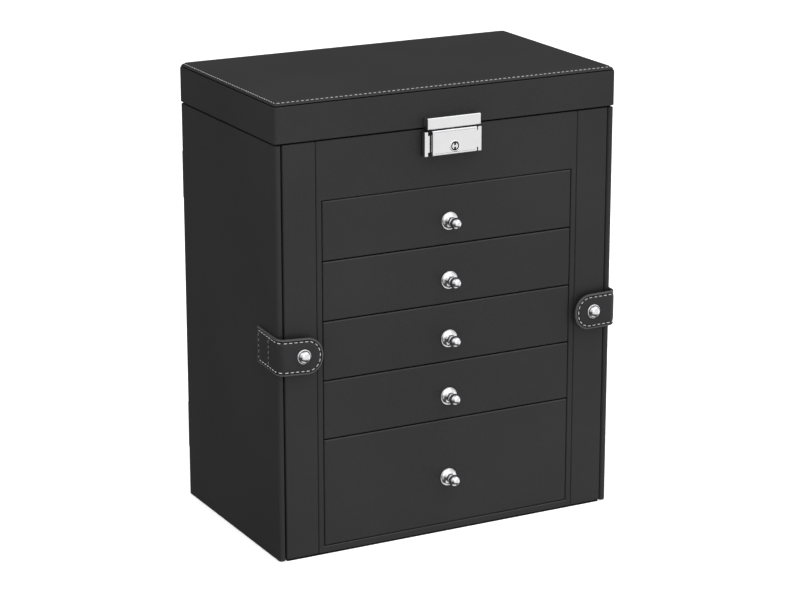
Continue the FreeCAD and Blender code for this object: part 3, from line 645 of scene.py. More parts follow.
def hidden_boards():
    """Boards and hinge leaves that keep their own shape, and the felt under the box, near black and reaching
    out past the case as a painted contact shadow.
    """
    for node in ("base_board", "left_partition", "right_partition", "tray_floor"):
        dress(node, VELVET)
    for number in range(1, 5):
        dress(f"drawer_shelf_{number}", VELVET)
    for node in ("case_hinge_leaves", "lid_hinge_leaves", "hinge_pins",
                 "left_door_hinge_leaves", "right_door_hinge_leaves"):
        dress(node, STEEL)
    low, high = span("base_felt")
    reach = Vector((FELT_SHADOW_REACH, FELT_SHADOW_REACH, 0))
    shape = rounded_box(low - reach, high + reach, 0.0003, (24, 16, 1), 2)
    piece("base_felt_sheet", shape, "case", "felt", FELT_AND_PAINTED_SHADOW, instead="base_felt")


# Lid

def lid_ring(inset, height, corner=LID_CORNER):
    """Outline of the lid at a height, moved in from its sides."""
    return box_ring(*span("lid_frame"), inset, height, corner)


def shoulder_ring(turn, depth=0.0):
    """Outline on the lid's rounded shoulder: 0 degrees at its side, 90 on its top."""
    across, up = math.cos(math.radians(turn)), math.sin(math.radians(turn))
    reach = LID_ROUND - depth
    return lid_ring(LID_ROUND - reach * across, span("lid_panel")[1].z - LID_ROUND + reach * up)


def lid_frame():
    """Sides of the lid and the lower part of its shoulder, up to the seam."""
    bottom = span("lid_frame")[0].z
    inner_corner = 0.0006
    lip = rounding(LID_LIP)
    rings = [lid_ring(LID_LIP - rise, bottom + inset) for inset, rise in lip]
    rings += [shoulder_ring((SEAM_TURN[0] - SEAM_EASE) * k / 4) for k in range(5)]
    # The two bands down into the seam take the dark leather: painted shade.
    looks = [0] * len(rings) + [1, 1]
    rings += [shoulder_ring(SEAM_TURN[0], SEAM_LIP), shoulder_ring(SEAM_TURN[0], SEAM_DEPTH)]
    floor = rings[-1][0].z
    rings += [lid_ring(LID_WALL, floor, inner_corner), lid_ring(LID_WALL, bottom + LID_LIP, inner_corner)]
    rings += [lid_ring(LID_WALL - LID_LIP + rise, bottom + inset, inner_corner)
              for inset, rise in reversed(lip[:-1])]
    shape = loft(rings, closed=True, looks=looks)
    piece("lid_frame_leather", shape, "lid", "leather", LEATHER, LEATHER_PAINTED_SHADE, instead="lid_frame")


def lid_panel():
    """Padded panel that rounds over to a seam darkened with painted shade, with a row of stitches along its
    shoulder.
    """
    high = span("lid_panel")[1].z
    start, across = SEAM_TURN[1], math.degrees(CHANNEL_WIDTH / LID_ROUND)
    flat_insets = (0.007, 0.012, 0.030, 0.060)
    turns = {start + SEAM_EASE} | {90.0 - (90.0 - SEAM_EASE - start) * k / 16 for k in range(16)}
    turns |= {STITCH_TURN + across * k / 3 for k in range(-3, 4)}
    rings = [shoulder_ring(start, SEAM_DEPTH), shoulder_ring(start, SEAM_LIP)]
    for turn in sorted(turns):
        rings.append(shoulder_ring(turn, channel(math.radians(turn - STITCH_TURN) * LID_ROUND)))
    rings += [lid_ring(inset, high) for inset in flat_insets]
    # The first band, out of the seam, takes the dark leather: painted shade.
    shape = loft(rings, ends="flat", looks=[1])
    panel = piece("lid_panel_leather", shape, "lid", "leather", LEATHER, LEATHER_PAINTED_SHADE, instead="lid_panel")

    threads = bmesh.new()
    tilt, up = math.radians(STITCH_TURN), Vector((0, 0, 1))
    for place, direction in walk(shoulder_ring(STITCH_TURN, CHANNEL_DEPTH * 0.6), LID_STITCH_PITCH):
        normal = direction.cross(up) * math.cos(tilt) + up * math.sin(tilt)
        add_stitch(threads, place, direction, normal, LID_STITCH_PITCH * STITCH_SHARE, LID_THREAD_SHARE)
    piece("lid_stitching", threads, "lid", "leather", THREAD)


def lid_inside():
    """Padded lining, and a bevelled mirror in a leather frame."""
    low, high = span("lid_lining")
    shape = rounded_box(low, high, 0.0009, (20, 12, 1), 3, swell=(2, -0.0008))
    piece("lid_lining_velvet", shape, "lid", "velvet", VELVET, instead="lid_lining")

    low, high = span("lid_mirror")
    bevel, drop, corner = 0.006, 0.0007, 0.001
    glass = loft([box_ring(low, high, inset, height, corner)
                  for inset, height in ((0, high.z), (0, low.z + drop), (bevel, low.z))], ends="flat")
    piece("lid_mirror_glass", glass, "lid", "mirror", MIRROR, sharp=1.0, instead="lid_mirror")

    width, lap, depth, edge = 0.006, 0.0025, 0.0032, 0.0003
    profile = ((0, 0), (edge, depth * 0.7), (width * 0.3, depth), (width * 0.7, depth),
               (width - edge, depth * 0.75), (width, depth * 0.5), (width, 0))
    rings = [box_ring(low, high, inset - width + lap, high.z - drop, 0.003 if inset < lap else corner)
             for inset, drop in profile]
    piece("lid_mirror_frame", loft(rings, closed=True), "lid", "leather", LEATHER)


# Lock

def rectangle(x0, z0, x1, z1):
    """Corners of a rectangle in X and Z."""
    return [(x0, z0), (x1, z0), (x1, z1), (x0, z1)]


def prism(outline, near, far, bevel):
    """Plate with the outline given in X and Z, from near to far in Y, with its edges broken."""
    shape = bmesh.new()
    face = shape.faces.new([shape.verts.new((x, far, z)) for x, z in outline])
    moved = bmesh.ops.extrude_face_region(shape, geom=[face])
    for item in moved["geom"]:
        if isinstance(item, bmesh.types.BMVert):
            item.co.y = near
    bmesh.ops.recalc_face_normals(shape, faces=shape.faces)
    bmesh.ops.bevel(shape, geom=shape.edges[:], offset=bevel, segments=3, profile=0.5, affect="EDGES")
    return shape


def slabs(outlines, near, far, radius):
    """Rounded slabs from near to far in Y, one for each (x, z, x, z)."""
    return [rounded_box((x0, near, z0), (x1, far, z1), radius, steps=3) for x0, z0, x1, z1 in outlines]


def spring_seat():
    """Middle of the lock's spring in X, and half the width of what it presses on."""
    low, high = span("lock_spring")
    return (low.x + high.x) / 2, 0.0022


def lock_ears():
    """Back plate, the two notched ears that guide the cover, and the spring's seat."""
    low, high = span("lock_plate")
    ear, notch, notch_height, plate = 0.0046, 0.0016, 0.0028, 0.001
    back = prism(rectangle(low.x, low.z, high.x, high.z), high.y - plate, high.y, 0.0002)
    # The back plate, seen between the ears and the cover, is dark metal: painted shade.
    for face in back.faces:
        face.material_index = 1
    shapes = [back]
    for _, sign in SIDES:
        outer, step, inner = (sign * value for value in (high.x, high.x - ear + notch, high.x - ear))
        outline = [(outer, low.z), (outer, high.z), (step, high.z), (step, high.z - notch_height),
                   (inner, high.z - notch_height), (inner, low.z + notch_height),
                   (step, low.z + notch_height), (step, low.z)]
        shapes.append(prism(outline, low.y, high.y - plate / 2, 0.0004))
    middle, half = spring_seat()
    foot = span("lock_spring")[0].z
    shapes.append(prism(rectangle(middle - half, foot - 0.001, middle + half, foot),
                        high.y - plate - 2 * half, high.y - plate / 2, 0.0002))
    piece("lock_ears_plate", join(shapes), "case", "chrome", LOCK_METAL, METAL_PAINTED_SHADE, instead="lock_plate")


def hasp():
    """Bare plate on the lid, with a tongue whose window takes the cover's nose."""
    low, high = span("hasp_plate")
    bottom = high.z - 0.0086
    corner = Vector((low.x, low.y, bottom))
    plate = rounded_box(corner, high, 0.0007, (8, 1, 2), swell=(1, -0.0001))
    tongue, window, thick, clearance = 0.006, 0.0041, 0.0014, 0.0031
    sill, lintel, overlap = low.z + 0.0012, low.z + 0.0042, 0.0008
    face = span("lock_plate")[1].y - clearance - thick
    strips = ((-tongue, low.z, tongue, sill), (-tongue, lintel, tongue, bottom + overlap),
              (-tongue, low.z, -window, bottom), (window, low.z, tongue, bottom))
    shape = join([plate] + slabs(strips, face, face + thick, 0.0003))
    piece("hasp_bare_plate", shape, "lid", "chrome", LOCK_METAL, instead="hasp_plate")


def lock_cover():
    """Front of the sliding cover, with a fine border line and the hole for the key cylinder."""
    low, high = span("lock_cover")
    core_low, core_high = span("lock_cylinder")
    centre = (core_low + core_high) / 2
    hole, wall, edge, corner = 0.00330, 0.0012, 0.0007, 0.0009
    line_inset, line_width, line_depth = 0.0013, 0.0004, 0.00010
    count, front = 9, low.y

    def plate_ring(inset, depth):
        return box_ring(low, high, inset, front + depth, max(corner - inset / 2, 0.0002), count, upright=True)

    def hole_ring(wider, depth):
        return [Vector((centre.x + a, front + depth, centre.z + b))
                for a, b in circle_ring(hole + wider, 4 * (count + 1))]

    rings = [plate_ring(0, wall)]
    rings += [plate_ring(inset, edge - rise) for inset, rise in rounding(edge, 4)]
    rings += [plate_ring(line_inset, 0), plate_ring(line_inset + line_width / 2, line_depth),
              plate_ring(line_inset + line_width, 0)]
    rings += [hole_ring(wider, depth) for wider, depth in
              ((0.0010, 0), (0.0008, -0.00018), (0.0003, -0.00022), (0, -0.0001), (0, wall))]
    walls = ((low.x, low.z, low.x + wall, high.z), (high.x - wall, low.z, high.x, high.z),
             (low.x, low.z, high.x, low.z + wall))
    nose, nose_half, nose_thick = low.z + 0.0132, 0.0035, 0.0009
    shapes = [loft(rings, closed=True)] + slabs(walls, front + wall * 0.6, high.y, 0.00035)
    shapes += slabs([(-nose_half, nose - nose_thick, nose_half, nose + nose_thick)],
                    front + wall * 0.8, front + wall + 0.002, 0.0004)
    middle, half = spring_seat()
    top = span("lock_spring")[1].z
    shapes.append(rounded_box((middle - half, front + wall * 0.8, top),
                              (middle + half, front + wall + 2 * half, top + 0.001), 0.0002, steps=2))
    piece("lock_cover_plate", join(shapes), "lock_cover", "chrome", LOCK_METAL, instead="lock_cover")


def lock_spring():
    """Bowed leaf spring in one fixed shape; on the real lock the cover presses it shorter as it slides down.
    """
    low, high = span("lock_spring")
    thick, steps = 0.0003, 24
    rings = []
    for k in range(steps + 1):
        bow = 1 - (2 * k / steps - 1) ** 2
        x = high.x - thick - (high.x - low.x - thick) * bow
        z = low.z + (high.z - low.z) * k / steps
        rings.append([Vector((x + shift, y, z)) for shift, y in
                      ((0, low.y), (thick, low.y), (thick, high.y), (0, high.y))])
    leaf = piece("lock_leaf_spring", loft(rings, ends="flat"), "case", "steel", STEEL, instead="lock_spring")
    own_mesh(leaf)


def lock_cylinder():
    """Core with a groove round its face, dark from painted shade on the core's body, and a key slot above and
    below a bright bar.
    """
    low, high = span("lock_cylinder")
    centre = (low + high) / 2
    face, bar, half, depth, core = 0.00242, 0.00062, 0.00078, 0.0018, 0.0029
    edge = math.degrees(math.asin(half / face))
    outline = arc((0, 0), face, edge - 90, 90 - edge, 28) + [(half, bar), (-half, bar)]
    outline += arc((0, 0), face, 90 + edge, 270 - edge, 28) + [(-half, -bar), (half, -bar)]
    plate = prism([(centre.x + a, centre.z + b) for a, b in outline], low.y, low.y + depth, 0.00008)
    start, end = 0.0001 - depth, low.y - high.y
    body = lathe([(0.0, start), (core, start), (core, end), (0.0, end)], (centre.x, low.y, centre.z))
    # The core's body, seen in the groove round its face, is dark metal: painted shade.
    for ring in body.faces:
        ring.material_index = 1
    piece("lock_cylinder_core", join([plate, body]), "lock_cylinder", "chrome", LOCK_METAL, METAL_PAINTED_SHADE,
          sharp=30.0, instead="lock_cylinder")


# Drawers

def knob_profile():
    """Flange, dished cone, neck and ball, as (radius, distance out) from the face of the drawer."""
    rim, flange_thick = 0.00035, 0.0010
    cone_foot, neck_foot = (0.0057, 0.0011), (NECK_RADIUS, 0.0058)
    dish, inward = 0.0011, Vector((0.86, 0.51))
    profile = [(0.0019, 0.0), (FLANGE_RADIUS, 0.0)]
    profile += arc((FLANGE_RADIUS - rim, flange_thick - rim), rim, 0, 90, 4)
    profile += [(0.0060, 0.00085), cone_foot]
    for k in range(1, 13):
        point = Vector(cone_foot).lerp(Vector(neck_foot), k / 12)
        profile.append(tuple(point - inward * dish * math.sin(math.pi * k / 12)))
    neck = math.degrees(math.asin(NECK_RADIUS / BALL_RADIUS))
    return profile + arc((0, BALL_OUT), BALL_RADIUS, neck - 90, 90, 32)[1:]


def drawer_fronts():
    """Wrapped front and chrome knob of each drawer."""
    for number in DRAWERS:
        body = f"drawer_{number}"
        # The top edge of each front gets a painted highlight.
        wrapped_board(f"{body}_front", body, EDGE_ROUND, (1, -BOARD_CROWN), (16, 1, 6), top_highlight=True)
        low, high = span(f"{body}_knob")
        place = ((low.x + high.x) / 2, span(f"{body}_front")[0].y, (low.z + high.z) / 2)
        piece(f"{body}_knob_chrome", lathe(knob_profile(), place), body, "chrome", CHROME, sharp=50.0,
              instead=f"{body}_knob")


def tub(low, high, wall, floor, rim, soft=0.003):
    """Open box with rounded top edges and a soft inner bottom edge."""
    corner, half = 0.0012, wall / 2
    rings = [box_ring(low, high, 0, low.z, corner, 4)]
    rings += [box_ring(low, high, inset, height, corner + inset / 2, 4)
              for inset, height in arc((half, high.z - rim), (half, rim), 180, 0, 8)]
    rings += [box_ring(low, high, wall + inset, low.z + floor + soft - rise, soft, 4)
              for inset, rise in rounding(soft)]
    return loft(rings, ends="flat")


def drawer_boxes():
    """Velvet-lined box behind each drawer front."""
    wall, floor, rim = 0.003, 0.0025, 0.0013
    for number in DRAWERS:
        node = f"drawer_{number}_box"
        piece(f"{node}_velvet", tub(*span(node), wall, floor, rim), f"drawer_{number}", "velvet", VELVET,
              instead=node)


def partition(low, high):
    """Thin board in velvet with a rounded top."""
    low, high = Vector(low), Vector(high)
    thin = min(range(2), key=lambda a: high[a] - low[a])
    return rounded_box(low, high, (high[thin] - low[thin]) * 0.49)


def dividers():
    """Crossed velvet boards in the two top drawers."""
    half = DIVIDER_THICK / 2
    for number, crossing in ((1, True), (2, False)):
        node = f"drawer_{number}_divider"
        low, high = span(node)
        place = (high.x - low.x) / 6 if crossing else high.x - half
        reach = high.x if crossing else place
        middle = (low.y + high.y) / 2
        shapes = [partition((x - half, low.y, low.z), (x + half, high.y, high.z)) for x in (-place, place)]
        shapes.append(partition((-reach, middle - half, low.z), (reach, middle + half, high.z)))
        piece(f"{node}_velvet", join(shapes), f"drawer_{number}", "velvet", VELVET, instead=node)


# Top tray

def tray():
    """Lined tray with a bay for the ring rolls, four compartments, and the frame round it."""
    low, high = span("tray_liner")
    cushion_low, cushion_high = span("ring_cushion")
    wall, floor, rim, thick, gap = 0.002, 0.0015, 0.0009, 0.002, 0.0004
    inner, top = high.x - wall, high.z - gap
    line, beside = cushion_low.y - gap - thick, cushion_high.x + gap
    third = (2 * inner - 2 * thick) / 3
    boards = [(-inner, line, inner, line + thick)]
    for number in (1, 2):
        x = -inner + number * third + (number - 1) * thick
        boards.append((x, low.y + wall / 2, x + thick, line + thick / 2))
    boards.append((beside, line + thick / 2, beside + thick, high.y - wall / 2))
    shapes = [tub(low, high, wall, floor, rim, soft=0.0015)]
    shapes += [partition((x0, y0, low.z), (x1, y1, top)) for x0, y0, x1, y1 in boards]
    piece("tray_velvet", join(shapes), "case", "velvet", VELVET, instead="tray_liner")

    rim_low, rim_high = span("tray_rim")
    lip, clearance, corner = 0.005, 0.0003, 0.0005
    half = high.x + clearance
    window = (Vector((-half, rim_low.y + lip, 0)), Vector((half, rim_high.y - lip, 0)))
    rings = [box_ring(rim_low, rim_high, 0, height, corner) for height in (rim_low.z, rim_high.z)]
    rings += [box_ring(*window, 0, height, corner / 3) for height in (rim_high.z, rim_low.z)]
    piece("tray_rim_leather", loft(rings, closed=True), "case", "leather", LEATHER, instead="tray_rim")


def inflate(pad, pinned, keep):
    """Blow a pad up as cloth and keep the result. keep changes each moved point."""
    pin = pad.vertex_groups.new(name="pin")
    pin.add([v.index for v in pad.data.vertices if pinned(v.co)], 1.0, "REPLACE")
    cloth = pad.modifiers.new("cloth", "CLOTH")
    cloth.point_cache.frame_start, cloth.point_cache.frame_end = 1, SIM_FRAMES
    for key, value in (("quality", 6), ("use_pressure", True), ("uniform_pressure_force", PAD_PRESSURE),
                       ("vertex_group_mass", pin.name), ("mass", 0.05), ("shrink_min", -CLOTH_SPARE),
                       ("bending_stiffness", 0.05)):
        setattr(cloth.settings, key, value)
    cloth.settings.effector_weights.gravity = 0.0
    for step in range(1, SIM_FRAMES + 1):
        bpy.context.scene.frame_set(step)
    blown = pad.evaluated_get(bpy.context.evaluated_depsgraph_get()).to_mesh()
    places = [v.co.copy() for v in blown.vertices]
    pad.modifiers.remove(cloth)
    pad.vertex_groups.clear()
    bpy.context.scene.frame_set(1)
    for point, place in zip(pad.data.vertices, places):
        step = place - point.co
        if step.length > PAD_REACH:
            step *= PAD_REACH / step.length
        point.co = keep(point.co + step)


def ring_rolls():
    """Six soft rolls with pinched ends, pressed against each other."""
    low, high = span("ring_cushion")
    count, stations, around = 6, 60, 40
    pitch, tall = (high.y - low.y) / count, high.z - low.z
    pinch, pinched, slack, wrinkles = 0.006, 0.88, 0.0009, 0.0002
    side = pitch / 2 * 0.995
    centre = high.z - tall * 0.37

    def pinned(place):
        at_end = min(place.x - low.x, high.x - place.x) < 0.0001
        return at_end or place.z < low.z + 0.0005

    random.seed(4)
    for number in range(count):
        middle = low.y + (number + 0.5) * pitch
        phase = random.uniform(0, 6)
        rings = []
        for k in range(stations + 1):
            x = low.x + (high.x - low.x) * k / stations
            fill = min(1.0, min(x - low.x, high.x - x) / pinch)
            swell = math.sqrt(max(fill * (2 - fill), 0.0)) * (1 - pinched) + pinched
            ring = []
            for j in range(around):
                angle = 2 * math.pi * j / around
                cy, cz = math.cos(angle), math.sin(angle)
                wrinkle = wrinkles * noise.noise(Vector((x * 120, angle * 1.2, phase)))
                y = math.copysign(abs(cy) ** 0.85, cy) * (pitch / 2 - slack + wrinkle) * swell
                share, power = (0.36, 1.0) if cz > 0 else (0.62, 0.55)
                z = math.copysign(abs(cz) ** power, cz) * (tall * share - slack + wrinkle) * swell
                ring.append(Vector((x, middle + y, max(centre + z, low.z))))
            rings.append(ring)
        roll = piece(f"ring_roll_{number + 1}", loft(rings, ends="flat"), None,
                     "foam", ROLL_VELVET, sharp=60.0)

        def keep(place, middle=middle):
            return Vector((min(max(place.x, low.x), high.x),
                           min(max(place.y, middle - side), middle + side),
                           min(max(place.z, low.z), high.z + slack)))

        inflate(roll, pinned, keep)
        smooth = roll.modifiers.new("smooth", "SUBSURF")
        smooth.levels = smooth.render_levels = 1
        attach(roll, "case")
        if number == 0:
            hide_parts("ring_cushion")


# Side doors

def doors():
    """On each side a wrapped board, with a padded lining, a pocket and hooks inside."""
    for side, sign in SIDES:
        body = f"{side}_door"
        low, high = span(f"{side}_door_board")
        recess = Vector((sign * DOOR_RECESS, 0, 0))
        wrapped_board(f"{side}_door_board", body, (DOOR_ROUND, DOOR_ROUND, LID_LIP), (0, sign * BOARD_CROWN),
                      (1, 10, 18), inset=(recess, Vector()) if sign > 0 else (Vector(), recess))
        inner = low.x if sign > 0 else high.x
        face = inner - sign * LINING_THICK
        door_lining(side, sign, body, inner, face)
        pocket(side, sign, body, face)
        hooks(side, sign, body, face)


def door_lining(side, sign, body, inner, face):
    """Padded velvet panel on the inner face of the door."""
    node = f"{side}_door_lining"
    low, high = span(node)
    low.x, high.x = sorted((inner, face))
    shape = rounded_box(low, high, 0.00055, (1, 10, 16), 3, swell=(0, -sign * 0.0006))
    piece(f"{side}_door_velvet", shape, body, "velvet", VELVET, instead=node)


def pocket(side, sign, body, face):
    """Pocket sheet: fixed along its foot and ends, gathered by the elastic in its mouth."""
    low, high = span(f"{side}_door_lining")
    ends, foot, hem_height, thick = 0.0055, 0.0008, 0.0016, 0.0006
    width, height = high.y - low.y - 2 * ends, POCKET_HEIGHT - hem_height
    columns, rows, folds, fold_depth, sag_depth = 150, 18, 15, 0.0011, 0.0012

    def line(column, offset):
        """Points of one upright line of the sheet, from its foot to its mouth."""
        s = column / columns
        hold = math.sin(math.pi / 2 * min(1.0, min(s, 1 - s) / 0.05))
        points = []
        for row in range(rows + 1):
            t = row / rows
            belly = 0.10 + 0.80 * math.sin(math.pi * (0.15 + 0.75 * t)) ** 0.7 if t > 0 else 0.05
            fold = math.sin(2 * math.pi * folds * s + 1.3 * math.sin(9 * s)) * (0.35 + 0.65 * t)
            out = hold * (POCKET_DEPTH * belly * 0.82 + fold_depth * fold) + thick + offset
            sag = sag_depth * math.sin(math.pi * s) * t
            rise = foot + height * t - sag
            points.append(Vector((face - sign * out, low.y + ends + width * s, low.z + rise)))
        return points

    inner = [line(column, 0.0) for column in range(columns + 1)]
    outer = [line(column, thick) for column in range(columns + 1)]
    shape = loft([a + b[::-1] for a, b in zip(inner, outer)], ends="strips")
    sheet = piece(f"{side}_door_pocket", shape, body, "velvet", VELVET, sharp=70.0)
    across = [points[rows // 2] for points in inner]
    flat = [round(sum((a - b).length for a, b in zip(path, path[1:])), 4)
            for path in (across, inner[columns // 2])]

    rings = []
    for a, b in zip(inner[::2], outer[::2]):
        centre = a[-1].lerp(b[-1], 0.5)
        rings.append([centre + Vector((0.0009 * u, 0, 0.0016 * v)) for u, v in circle_ring(1.0, 10)])
    hem = loft(rings, ends="flat")
    piece(f"{side}_door_pocket_hem", hem, body, "velvet", LEATHER)


def hooks(side, sign, body, face):
    """Leather rail with a row of turned pegs for necklaces."""
    node = f"{side}_hook_rail"
    low, high = span(node)
    middle = (low.z + high.z) / 2
    front = face - sign * 0.0035
    low.x, high.x = sorted((face, front))
    rail = rounded_box(low, high, 0.0012, (1, 8, 1))
    piece(f"{node}_leather", rail, body, "leather", LEATHER, instead=node)
    count, pitch, reach, ball = 6, 0.020, 0.008, 0.0021
    profile = [(0.0012, -0.001), (0.0034, 0.0), (0.0034, 0.0005), (0.0030, 0.0009), (0.0014, 0.0011),
               (0.0011, 0.0016), (0.0011, reach - 0.0022)]
    profile += arc((0, reach), ball, -58, 74, 11) + [(0.0, reach + ball)]
    shape = bmesh.new()
    for number in range(count):
        y = (number - (count - 1) / 2) * pitch
        lathe(profile, (front, y, middle), (-sign, 0, 0), 28, shape)
    piece(f"{side}_hook_pegs", shape, body, "chrome", CHROME, sharp=45.0)


# Straps

class Strap:
    """A strap laid flat: distance along it from its tail, and height from its middle line."""

    def __init__(self, side, sign):
        root, flap, button = (span(f"{side}_{name}") for name in ("strap_root", "strap_flap", "snap_button"))
        outward, inward = (1, 0) if sign > 0 else (0, 1)
        self.sign = sign
        self.middle = (flap[0].z + flap[1].z) / 2
        self.half = (flap[1].z - flap[0].z) / 2
        self.radius = STRAP_BEND - STRAP_THICK / 2
        self.centre = (sign * (abs(root[outward].x) - STRAP_BEND), flap[0].y + STRAP_BEND)
        self.tail = root[1].y - self.centre[1]
        self.bend = math.pi / 2 * self.radius
        to_middle = self.tail + self.bend + abs(self.centre[0])
        self.length = to_middle - abs(flap[inward].x)
        self.button = to_middle - abs(button[0].x + button[1].x) / 2
        self.tilt = STRAP_TILT[side]

    def place(self, along, height, lift):
        """Point at a distance along the middle of the strap, lifted outwards."""
        cx, cy = self.centre
        reach = self.radius + lift
        if along < self.tail:
            x, y = reach, self.tail - along
        elif along < self.tail + self.bend:
            angle = (along - self.tail) / self.radius
            x, y = reach * math.cos(angle), -reach * math.sin(angle)
        else:
            x, y = self.tail + self.bend - along, -reach
        return Vector((cx + self.sign * x, cy + y, self.middle + height + self.tilt * (self.button - along)))

    def outline(self, inset):
        """Points round the flat strap, inset from its edge, as (along, height)."""
        half = self.half - inset
        reach, rise = STRAP_TIP[0] - inset, STRAP_TIP[1] - inset
        stop = self.length - STRAP_TIP[0]
        lower = [(inset + (stop - inset) * k / 44, -half) for k in range(44)]
        lower += arc((stop, rise - half), (reach, rise), -90, 0, 10)
        return lower + [(along, -height) for along, height in reversed(lower)]


def strap_mesh(strap):
    """Rounded edge, stitch channel and softly raised middle, on both faces."""
    half = STRAP_THICK / 2
    lip, valley, rise, valley_level = 0.0013, 0.0021, 0.0033, half - CREASE_DEPTH
    edge = rounding(half)
    upper = edge + [(lip, half), (valley, valley_level), (STRAP_STITCH_INSET, valley_level),
                    (rise, half - CREASE_DEPTH * 0.3), (rise + 0.0012, half + STRAP_PUFF * 0.6),
                    (rise + 0.0030, half + STRAP_PUFF)]
    lower = [(inset, -lift) for inset, lift in edge[1:]] + [(STRAP_STITCH_INSET, -half)]
    rings = [[strap.place(along, height, lift) for along, height in strap.outline(inset)]
             for inset, lift in lower[::-1] + upper]
    # Rim and lip take the lighter edge leather, glossy edge paint with a painted highlight; the slope into
    # the stitch channel and its floor take the dark leather of painted shade.
    looks = [0] * 2 + [1] * (len(lower) + 4) + [2] * 2
    return loft(rings, ends="strips", looks=looks)


def strap_stitches(strap):
    """Stitches round the strap, and a row across its tail."""
    shape = bmesh.new()
    flat = STRAP_THICK / 2
    height = strap.half - STRAP_STITCH_INSET - 0.001
    along = strap.tail - TAIL_ROW
    routes = ((strap.outline(STRAP_STITCH_INSET), True, flat - CREASE_DEPTH * 0.6),
              ([(along, -height), (along, height)], False, flat + STRAP_PUFF - 0.00012))
    for route, closed, lift in routes:
        for spot, direction in walk([(*point, 0) for point in route], STRAP_STITCH_PITCH, closed):
            step = direction * 0.0002
            place = strap.place(spot.x, spot.y, lift)
            ahead = strap.place(spot.x + step.x, spot.y + step.y, lift)
            normal = (strap.place(spot.x, spot.y, lift + 0.001) - place).normalized()
            # Upright stitches on the strap's side part take the darker thread: painted shade.
            upright = abs(direction.y) > 0.7 and spot.x < strap.tail
            add_stitch(shape, place, (ahead - place).normalized(), normal,
                       STRAP_STITCH_PITCH * STITCH_SHARE, material=int(upright))
    return shape


def straps():
    """Straps that bend between door and flap, each with its snap."""
    for side, sign in SIDES:
        strap = Strap(side, sign)
        start = strap.place(strap.tail, 0, 0)
        end = strap.place(strap.tail + strap.bend, 0, 0)
        leather_strap = piece(f"{side}_strap_leather", strap_mesh(strap), None, "leather",
                              LEATHER, LEATHER_EDGE_PAINT_AND_HIGHLIGHT, LEATHER_PAINTED_SHADE)
        threads = piece(f"{side}_strap_stitching", strap_stitches(strap), None, "leather",
                        THREAD, THREAD_PAINTED_SHADE)
        for made in (leather_strap, threads):
            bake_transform(made)
        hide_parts(f"{side}_strap_root", f"{side}_strap_flap")
        snap(side)


def snap(side):
    """Cap with a thin flange ring and a dome, and the magnet disc under the strap."""
    node = f"{side}_snap_button"
    low, high = span(node)
    strap_face = span(f"{side}_strap_flap")[0].y
    radius, dome = (high.x - low.x) / 2, strap_face - low.y
    sink, rim, base, waist = 0.0002, 0.0004, 0.0008, radius * 0.88
    profile = [(0.0014, sink), (radius, sink), *arc((radius - rim, 0.0005), rim, 0, 90, 4),
               (radius * 0.91, 0.00085), (radius * 0.89, 0.00075)]
    for k in range(24):
        angle = math.radians(90 * k / 24)
        profile.append((waist * math.cos(angle) ** 0.85, base + (dome - base) * math.sin(angle)))
    profile.append((0.0, dome))
    place = ((low.x + high.x) / 2, strap_face + sink, (low.z + high.z) / 2)
    cap = lathe(profile, place)
    disc = [(0.0014, -0.0014), (0.0014, -0.0018), (0.0048, -0.0018), (0.0050, -0.0020), (0.0050, -0.0023),
            (0.0048, -0.0024), (0.0, -0.0024)]
    lathe(disc, place, shape=cap)
    piece(f"{side}_snap_cap", cap, f"{side}_strap", "chrome", CHROME, sharp=50.0, instead=node)


def snap_posts():
    """Magnets of the snaps, on the pillars."""
    low, high = span("snap_bases")
    reach, radius = high.y - low.y, (high.z - low.z) / 2
    profile = [(radius, 0.0), (radius, 0.0005), (radius - 0.0004, 0.0009), (0.0046, 0.0010), (0.0043, 0.0014),
               (0.0042, reach - 0.0003), (0.0039, reach), (0.0016, reach), (0.0012, reach - 0.0006),
               (0.0, reach - 0.0006)]
    shape = bmesh.new()
    for _, sign in SIDES:
        lathe(profile, (sign * (high.x - radius), high.y, (low.z + high.z) / 2), shape=shape)
    piece("snap_magnets", shape, "case", "chrome", CHROME, sharp=40.0, instead="snap_bases")


# Hinge screws

def screw(place, out):
    """Countersunk head with a cross recess."""
    head, rise, reach, half, depth = 0.00165, 0.00022, 0.00105, 0.00024, 0.0004
    corner = math.degrees(math.atan2(half, reach))
    angles = [math.radians(90 * quarter + step) for quarter in range(4)
              for step in (-corner, corner, 27.0, 45.0, 63.0)]
    out = Vector(out)
    side = out.orthogonal().normalized()
    up = out.cross(side)

    def ring(radii, height):
        return [Vector(place) + out * height + (side * math.cos(angle) + up * math.sin(angle)) * radius
                for angle, radius in zip(angles, radii)]

    cross = []
    for angle in angles:
        near, far = sorted((abs(math.cos(angle)), abs(math.sin(angle))))
        cross.append(min(half / near, reach / far))
    full = [head] * len(angles)
    rings = [ring(full, 0.0), ring(full, rise * 0.4), ring([head * 0.8] * len(angles), rise),
             ring(cross, rise), ring(cross, rise - depth)]
    return loft(rings, ends="flat")


